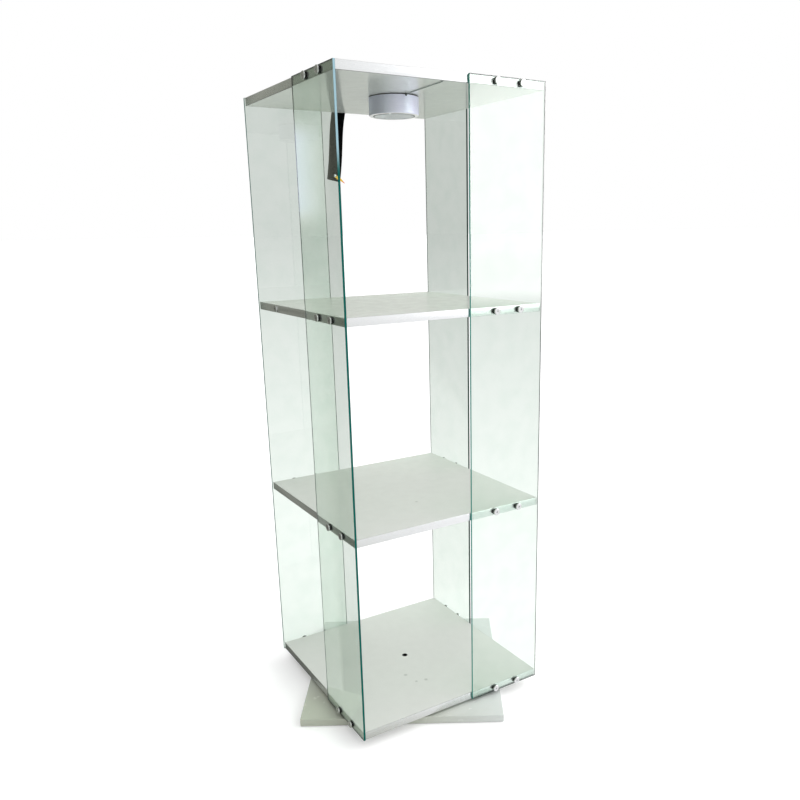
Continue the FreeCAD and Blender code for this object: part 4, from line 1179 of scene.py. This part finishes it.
@dataclass
class CapBolts:
    """The bolts through glass and board: a low round cap with a rolled shoulder, a shallow dish
    and a hexagon socket, on a plain shank. Sizes are in millimetres."""

    material: bpy.types.Material
    radius: float = 10.0
    height: float = 3.5
    shoulder: float = 1.7
    foot: float = 0.2
    dish_radius: float = 7.6
    dish_depth: float = 0.25
    socket_ring: float = 3.4
    socket_flats: float = 5.0
    socket_depth: float = 2.2
    shank_radius: float = 3.0
    shank_length: float = 24.0
    chamfer: float = 0.5
    merge: float = 0.001
    reach_share: float = 1.5
    steps: int = 24
    shoulder_steps: int = 5

    def profile(self) -> list[Pair]:
        """Draws the bolt's half section, from the shank's end to the ring round the socket.

        Returns:
            Its points, as radius and distance from the face it sits on.
        """
        dish = self.height - self.dish_depth
        corner = (self.radius - self.shoulder, self.height - self.shoulder)
        return [
            (0.0, -self.shank_length),
            (self.shank_radius - self.chamfer, -self.shank_length),
            (self.shank_radius, self.chamfer - self.shank_length),
            (self.shank_radius, 0.0),
            (self.radius - self.foot, 0.0),
            (self.radius, self.foot),
            *arc(corner, self.shoulder, 0.0, 90.0, self.shoulder_steps),
            (self.dish_radius + self.foot, self.height),
            (self.dish_radius, dish),
            (self.socket_ring, dish),
        ]

    def open_edges(self, mesh: Mesh, seat: Vector) -> list[bmesh.types.BMEdge]:
        """Finds the edges round a bolt's socket that are still open.

        Args:
            mesh: The mesh that holds the bolt.
            seat: Middle of the face that its cap sits on.

        Returns:
            The edges.
        """
        reach = self.reach_share * self.radius * MM
        return [e for e in mesh.edges if e.is_boundary and (e.verts[0].co - seat).length < reach]

    def add(self, mesh: Mesh, seat: Vector, outward: Vector) -> None:
        """Adds one bolt.

        Args:
            mesh: The mesh that takes it.
            seat: Middle of the face that the cap sits on.
            outward: The direction that the cap faces.
        """
        verts = spun(mesh, self.profile(), seat, outward, self.steps)
        bmesh.ops.remove_doubles(mesh, verts=verts, dist=self.merge * MM)
        right = outward.orthogonal().normalized()
        up = outward.cross(right)
        level = (self.height - self.dish_depth) * MM
        sixth = FULL_TURN / 6
        for depth in (0.0, self.socket_depth):
            made = bmesh.ops.extrude_edge_only(mesh, edges=self.open_edges(mesh, seat))
            for vert in [item for item in made["geom"] if isinstance(item, bmesh.types.BMVert)]:
                flat = vert.co - seat
                angle = math.atan2(flat.dot(up), flat.dot(right))
                reach = self.socket_flats / 2 / math.cos((angle + sixth / 2) % sixth - sixth / 2)
                along = math.cos(angle) * right + math.sin(angle) * up
                vert.co = seat + along * reach * MM + outward * (level - depth * MM)
        bmesh.ops.contextual_create(mesh, geom=self.open_edges(mesh, seat))

    def build_side(self, side: Side, board_levels: list[float]) -> None:
        """The bolts of one panel, two on each board.

        Args:
            side: The panel's side.
            board_levels: Height of each board's middle, in metres.
        """
        node = f"{side.title}_panel_bolts"
        low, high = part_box(node)
        reach = max(abs(low[1 - side.across]), abs(high[1 - side.across])) - self.height * MM
        ends = (low[side.across] + self.radius * MM, high[side.across] - self.radius * MM)
        mesh = bmesh.new()
        for level in board_levels:
            for end in ends:
                seat = side.outward * reach
                seat[side.across] = end
                seat.z = level
                self.add(mesh, seat, side.outward)
        hand_over(mesh, f"{side.title}_cap_bolts", [self.material], "cap_steel", node)

    def build(self) -> None:
        """Builds the bolts of all panels and the lone one in the upper shelf's edge."""
        levels = []
        for title in Boards.titles:
            low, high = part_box(f"{title}_board")
            levels.append((low[2] + high[2]) / 2)
        for side in Side:
            self.build_side(side, levels)
        low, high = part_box("spare_bolt")
        seat = Vector((low[0] + self.height * MM, (low[1] + high[1]) / 2, (low[2] + high[2]) / 2))
        mesh = bmesh.new()
        self.add(mesh, seat, Side.LEFT.outward)
        hand_over(mesh, "lone_cap_bolt", [self.material], "cap_steel", "spare_bolt")


@dataclass
class HangingStrap:
    """The webbing strap on the top board's back edge, with a rivet and a pointed tag at its
    lower end. Sizes are in millimetres."""

    materials: Materials
    width: float = 40.0
    length: float = 222.0
    thickness: float = 1.6
    plane: float = 301.1
    bulge: float = 0.9
    bulge_waves: float = 1.5
    cup: float = 0.5
    line: tuple[Pair, ...] = ((-2.6, 1776.0), (-20.5, 1712.0), (-18.0, 1640.0), (-32.9, 1562.3))
    line_steps: int = 1000
    slope_steps: int = 4
    measure_steps: int = 50
    rows: int = 90
    columns: int = 10
    seams: Pair = (14.0, 3.0)
    seam_margin: float = 4.0
    stitch_pitch: float = 3.6
    stitch: Triple = (1.3, 0.35, 0.35)
    stitch_smooth: float = 60.0
    rivet_radius: float = 4.5
    rivet_crown: float = 0.8
    rivet_shank: float = 1.6
    rivet_steps: int = 32
    dome_steps: int = 6
    tag_length: float = 37.0
    tag_width: float = 8.6
    tag_thickness: float = 0.9
    tag_slope: float = 38.5
    tag_waist: float = 0.35
    tag_taper: float = 0.8
    tag_curl: float = 0.25
    tag_rounding: float = 0.2
    tag_merge: float = 0.02

    def station(self, share: float) -> tuple[Vector, Vector]:
        """A point on the strap's middle line and the direction across it, to the right.

        Args:
            share: 0 at the upper end and 1 at the lower.

        Returns:
            The point and the unit direction, in metres.
        """
        last, near = self.line_steps, self.slope_steps
        knots = [Vector((x, self.plane, z)) * MM for x, z in self.line]
        points = interpolate_bezier(*knots, last + 1)
        at = min(int(round(share * last)), last)
        ahead = points[min(at + near, last)] - points[max(at - near, 0)]
        point = points[at].copy()
        wave = 1 - math.cos(FULL_TURN * self.bulge_waves * share)
        point.y += self.bulge * MM * wave / 2
        return point, Vector((-ahead.z, 0.0, ahead.x)).normalized()

    def make_band(self) -> None:
        """The woven band, shaped from a flat grid, with its length and width in its UV map."""
        mesh = bmesh.new()
        layer = mesh.loops.layers.uv.new("weave")
        bmesh.ops.create_grid(mesh, x_segments=self.columns, y_segments=self.rows, size=0.5)
        steps = self.measure_steps
        marks = [self.station(step / steps)[0] for step in range(steps + 1)]
        length = sum((after - before).length for before, after in zip(marks, marks[1:]))
        for face in mesh.faces:
            for loop in face.loops:
                spot = loop.vert.co
                loop[layer].uv = (spot.x * self.width, (0.5 - spot.y) * length / MM)
        for vert in mesh.verts:
            share, aside = 0.5 - vert.co.y, vert.co.x
            point, across = self.station(share)
            cupped = self.cup * MM * (2 * aside) ** 2 * math.sin(math.pi * share)
            vert.co = point + across * aside * self.width * MM + Vector((0.0, cupped, 0.0))
        finishes = [self.materials["strap_webbing"]]
        piece = hand_over(mesh, "webbing_strap", finishes, "strap_webbing", "hanging_strap")
        self.thicken(piece, "weave_thickness", self.thickness)

    def thicken(self, piece: bpy.types.Object, name: str, thickness: float) -> None:
        """Gives a flat piece its thickness, half of it on each side.

        Args:
            piece: The piece.
            name: The modifier's name.
            thickness: The thickness in millimetres.
        """
        solidify = piece.modifiers.new(name, "SOLIDIFY")
        solidify.thickness = thickness * MM
        solidify.offset = 0.0

    def make_stitches(self) -> None:
        """Two rows of thread across the hem, on both faces of the band."""
        mesh = bmesh.new()
        count = int((self.width - self.seam_margin) / self.stitch_pitch)
        size = Matrix.Diagonal((*(Vector(self.stitch) * MM), 1.0))
        for seam in self.seams:
            point, across = self.station(1 - seam / self.length)
            turn = across.to_track_quat("X", "Y").to_matrix().to_4x4()
            for number in range(count):
                aside = (number - (count - 1) / 2) * self.stitch_pitch * MM
                for face in (-1, 1):
                    out = Vector((0.0, face * self.thickness / 2 * MM, 0.0))
                    place = Matrix.Translation(point + across * aside + out)
                    bmesh.ops.create_uvsphere(
                        mesh, u_segments=6, v_segments=5, radius=1.0, matrix=place @ turn @ size
                    )
        finishes = [self.materials["strap_thread"]]
        smooth = self.stitch_smooth
        hand_over(mesh, "strap_stitches", finishes, "strap_webbing", smooth_angle=smooth)

    def make_rivet(self) -> None:
        """The rivet's two domed heads and its shank."""
        low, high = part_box("strap_rivet")
        middle = (Vector(low) + Vector(high)) / 2
        mesh = bmesh.new()
        start = (high[1] - low[1]) / 2 / MM - self.rivet_crown
        angles = [FULL_TURN / 4 * step / self.dome_steps for step in range(self.dome_steps + 1)]
        dome = [
            (self.rivet_radius * math.cos(angle), start + self.rivet_crown * math.sin(angle))
            for angle in angles
        ]
        profile = [(0.0, 0.0), (self.rivet_shank, 0.0), (self.rivet_shank, start), *dome]
        for side in (Side.FRONT, Side.BACK):
            spun(mesh, profile, middle, side.outward, self.rivet_steps)
        finishes = [self.materials["rivet_steel"]]
        hand_over(mesh, "domed_rivet", finishes, "rivet_steel", "strap_rivet")

    def make_tag(self) -> None:
        """The pointed tag: a strip with a round end under the rivet, a waist and a tip."""
        low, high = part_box("strap_rivet")
        pivot = Vector(((low[0] + high[0]) / 2, 0.0, (low[2] + high[2]) / 2))
        tag_low, tag_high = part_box("strap_tag")
        pivot.y = (tag_low[1] + tag_high[1]) / 2
        slope = math.radians(self.tag_slope)
        along = Vector((math.cos(slope), 0.0, -math.sin(slope)))
        across = Vector((math.sin(slope), 0.0, math.cos(slope)))
        half = self.tag_width / 2
        mesh = bmesh.new()
        layer = mesh.loops.layers.uv.new("length")
        bmesh.ops.create_grid(mesh, x_segments=40, y_segments=4, size=0.5)
        for face in mesh.faces:
            for loop in face.loops:
                loop[layer].uv = (loop.vert.co.x + 0.5, loop.vert.co.y + 0.5)
        reach = self.tag_length + half
        for vert in mesh.verts:
            out = (vert.co.x + 0.5) * reach - half
            if out < 0:
                wide = math.sqrt(max(half**2 - out**2, 0.0))
            elif out < self.tag_waist * self.tag_length:
                wide = half
            else:
                rest = (out / self.tag_length - self.tag_waist) / (1 - self.tag_waist)
                wide = half * (1 - rest) ** self.tag_taper
            curl = self.tag_curl * math.sin(math.pi * max(out, 0.0) / self.tag_length)
            offset = along * out + across * vert.co.y * 2 * wide - Vector((0.0, curl, 0.0))
            vert.co = pivot + offset * MM
        bmesh.ops.remove_doubles(mesh, verts=mesh.verts, dist=self.tag_merge * MM)
        finishes = [self.materials["tag_plastic"]]
        piece = hand_over(mesh, "pointed_tag", finishes, "tag_plastic", "strap_tag")
        self.thicken(piece, "tag_thickness", self.tag_thickness)
        bevel = piece.modifiers.new("tag_rounding", "BEVEL")
        bevel.width = self.tag_rounding * MM
        bevel.segments = 2

    def build(self) -> None:
        """Builds the band, its stitches, the rivet and the tag."""
        self.make_band()
        self.make_stitches()
        self.make_rivet()
        self.make_tag()


@dataclass
class Lamp:
    """The detailed pieces at the mouth of the lamp's drum, a dark ring over the drum that paints
    its shadow gap, and its lead's grommet. Radii and heights are in millimetres, heights from the
    drum's lower edge up."""

    materials: Materials
    rim_radius: float = 55.0
    rim_outer: float = 67.2
    rim_coat: float = 0.7
    rim_round: float = 1.6
    rim_arc: Pair = (270.0, 335.0)
    rim_steps: int = 5
    rim_slope: float = 0.4
    rim_tuck: float = 0.9
    rim_lap: float = 0.02
    lens_radius: float = 59.0
    lens_seat: float = 3.0
    lens_thickness: float = 3.0
    lens_drop: float = 1.3
    lens_gap: float = 0.9
    flute_depth: float = 0.4
    flute_radii: range = range(4, 53, 2)
    ring_drop: float = 1.2
    ring_width: float = 1.6
    ring_inside: float = 0.7
    ring_gap: float = 0.2
    ring_lap: float = 0.1
    small: float = 0.3
    shadow_ring_radius: float = 67.0
    shadow_ring_size: Pair = (3.0, 2.4)
    shadow_ring_gap: float = 0.05
    clip_toward: Pair = (-0.646, -0.763)
    clip_size: Triple = (3.4, 5.0, 3.0)
    clip_past: float = 0.4
    clip_round: float = 0.5
    drum_height: float = 46.0
    notch_drop: float = 1.4
    grommet: tuple[Pair, ...] = (
        (1.15, -0.5), (1.15, 1.0), (1.6, 1.3), (2.3, 1.0), (2.5, 0.1), (1.15, -0.5),
    )
    steps: int = 96

    def axis_point(self, rise: float) -> Vector:
        """A point on the lamp's axis.

        Args:
            rise: Its height above the drum's lower edge.

        Returns:
            The point in metres.
        """
        low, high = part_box("lamp_housing")
        return Vector(((low[0] + high[0]) / 2, (low[1] + high[1]) / 2, low[2] + rise * MM))

    def make_spun(
        self,
        name: str,
        finish: str,
        slot: str,
        profile: list[Pair],
        *nodes: str,
        centre: Vector | None = None,
        axis: Vector = Vector((0.0, 0.0, 1.0)),
    ) -> None:
        """A closed ring or disc, spun about the lamp's axis or another.

        Args:
            name: The piece's name.
            finish: Its material.
            slot: The record's material slot.
            profile: Its half section, as radius and height.
            nodes: The CAD nodes it replaces.
            centre: Where the height is 0, if not on the lamp's axis.
            axis: The direction of the height.
        """
        mesh = bmesh.new()
        spun(mesh, profile, centre or self.axis_point(0.0), axis, self.steps)
        hand_over(mesh, name, [self.materials[finish]], slot, *nodes)

    def make_clip(self) -> None:
        """The small white clip that holds the lens' ring at its near side, white as a painted
        highlight.
        """
        inward = -Vector((*self.clip_toward, 0.0)).normalized()
        turn = inward.to_track_quat("X", "Z").to_matrix().to_4x4()
        middle = self.axis_point(0.5 * self.clip_size[2] - self.ring_drop - self.clip_past)
        middle -= inward * (self.rim_radius + self.clip_past) * MM
        size = Matrix.Diagonal((*(Vector(self.clip_size) * MM), 1.0))
        mesh = bmesh.new()
        bmesh.ops.create_cube(mesh, size=1.0, matrix=Matrix.Translation(middle) @ turn @ size)
        ease(mesh, list(mesh.edges), self.clip_round, 2)
        hand_over(mesh, "lens_clip_highlight", [self.materials["rim_painted_highlight"]], "lamp_aluminium")

    def make_lens(self) -> None:
        """The pressed lens, fluted on its lower face and eased at its edges."""
        seat, top, soft = self.lens_seat, self.lens_seat + self.lens_thickness, self.flute_depth
        foot, low = self.rim_radius - self.lens_gap, -self.lens_drop
        flutes = [
            (radius, low + (soft if index % 2 else 0.0))
            for index, radius in enumerate(self.flute_radii)
        ]
        lens = [
            (0.0, low + soft), *flutes, (foot - soft, low), (foot, low + soft), (foot, seat),
            (self.lens_radius, seat), (self.lens_radius, top - soft),
            (self.lens_radius - soft, top), (0.0, top),
        ]
        self.make_spun("fluted_lens", "lens_glass", "lens_glass", lens, "lamp_lens")

    def make_rings(self) -> None:
        """The dark ring that holds the lens, its black partly painted shade in the gap, the white
        rim round it that paints the lip's highlight, and a dark ring over the drum that paints its
        shadow gap.
        """
        rubber = ("gasket_rubber", "gasket_rubber")
        small, lap, high = self.small, self.ring_lap, self.lens_seat - self.ring_gap
        inner, hem = self.rim_radius - self.ring_inside, -self.ring_drop
        outer, back = self.rim_radius + self.ring_width, self.rim_radius - lap
        ring = [
            (inner, high), (inner, hem + small), (inner + small, hem), (outer - small, hem),
            (outer, hem + small), (outer, -lap), (back, -lap), (back, high), (inner, high),
        ]
        self.make_spun("lens_ring", *rubber, ring)
        start, end, lap = outer + self.ring_gap, self.rim_outer, self.rim_lap
        coat, bend = -self.rim_coat, self.rim_round
        rim = [
            (start, -lap), (start, coat + small), (start + self.rim_slope, coat),
            *arc((end - bend, coat + bend), bend, *self.rim_arc, self.rim_steps),
            (end - self.rim_tuck, -lap), (start, -lap),
        ]
        # The white rim paints the highlight of the drum's lower lip.
        self.make_spun("white_highlight_rim", "rim_painted_highlight", "lamp_aluminium", rim)
        level, edge = self.drum_height + self.shadow_ring_gap, self.shadow_ring_radius
        inside, top = edge - self.shadow_ring_size[0], level + self.shadow_ring_size[1]
        shadow_ring = [(inside, level), (edge, level), (edge, top), (inside, top), (inside, level)]
        self.make_spun("shadow_gap_ring", *rubber, shadow_ring)

    def build(self) -> None:
        """Builds the clip, the lens, its rings and the dark ring of painted shadow over the drum,
        and the grommet of the lead.
        """
        self.make_clip()
        self.make_lens()
        self.make_rings()
        low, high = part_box("lamp_housing")
        notch = Vector((0.0, low[1], high[2] - self.notch_drop * MM))
        finish = slot = "gasket_rubber"
        axis = Side.FRONT.outward
        self.make_spun("lead_grommet", finish, slot, list(self.grommet), centre=notch, axis=axis)


def dress_frame(materials: Materials) -> None:
    """Gives every CAD node the finish of its material slot.

    Args:
        materials: The finished materials by slot.
    """
    for part in frame["record"]["subparts"]:
        dress(frame["nodes"][part["node"]], materials[part["material_slot"]])
        log.info("%s has the finish %s", part["node"], part["material_slot"])
    # The top board takes the darker copy of the board lacquer, its painted shade.
    dress(frame["nodes"]["top_board"], materials["shaded_top_lacquer"])


def main() -> None:
    """Builds the studio and dresses the cabinet."""
    logging.basicConfig(level=logging.INFO, format="%(name)s: %(message)s")
    Viewpoint().place()
    Studio().build()
    materials = {slot: finish.make() for slot, finish in {**FINISHES, **TRIMMINGS}.items()}
    dress_frame(materials)
    Boards(materials).build()
    edges = {side: edge.make() for side, edge in EDGES.items()}
    GlassPanels(materials["clear_glass"], edges).build()
    CapBolts(materials["cap_steel"]).build()
    HangingStrap(materials).build()
    Lamp(materials).build()


if __name__ == "__main__":
    main()
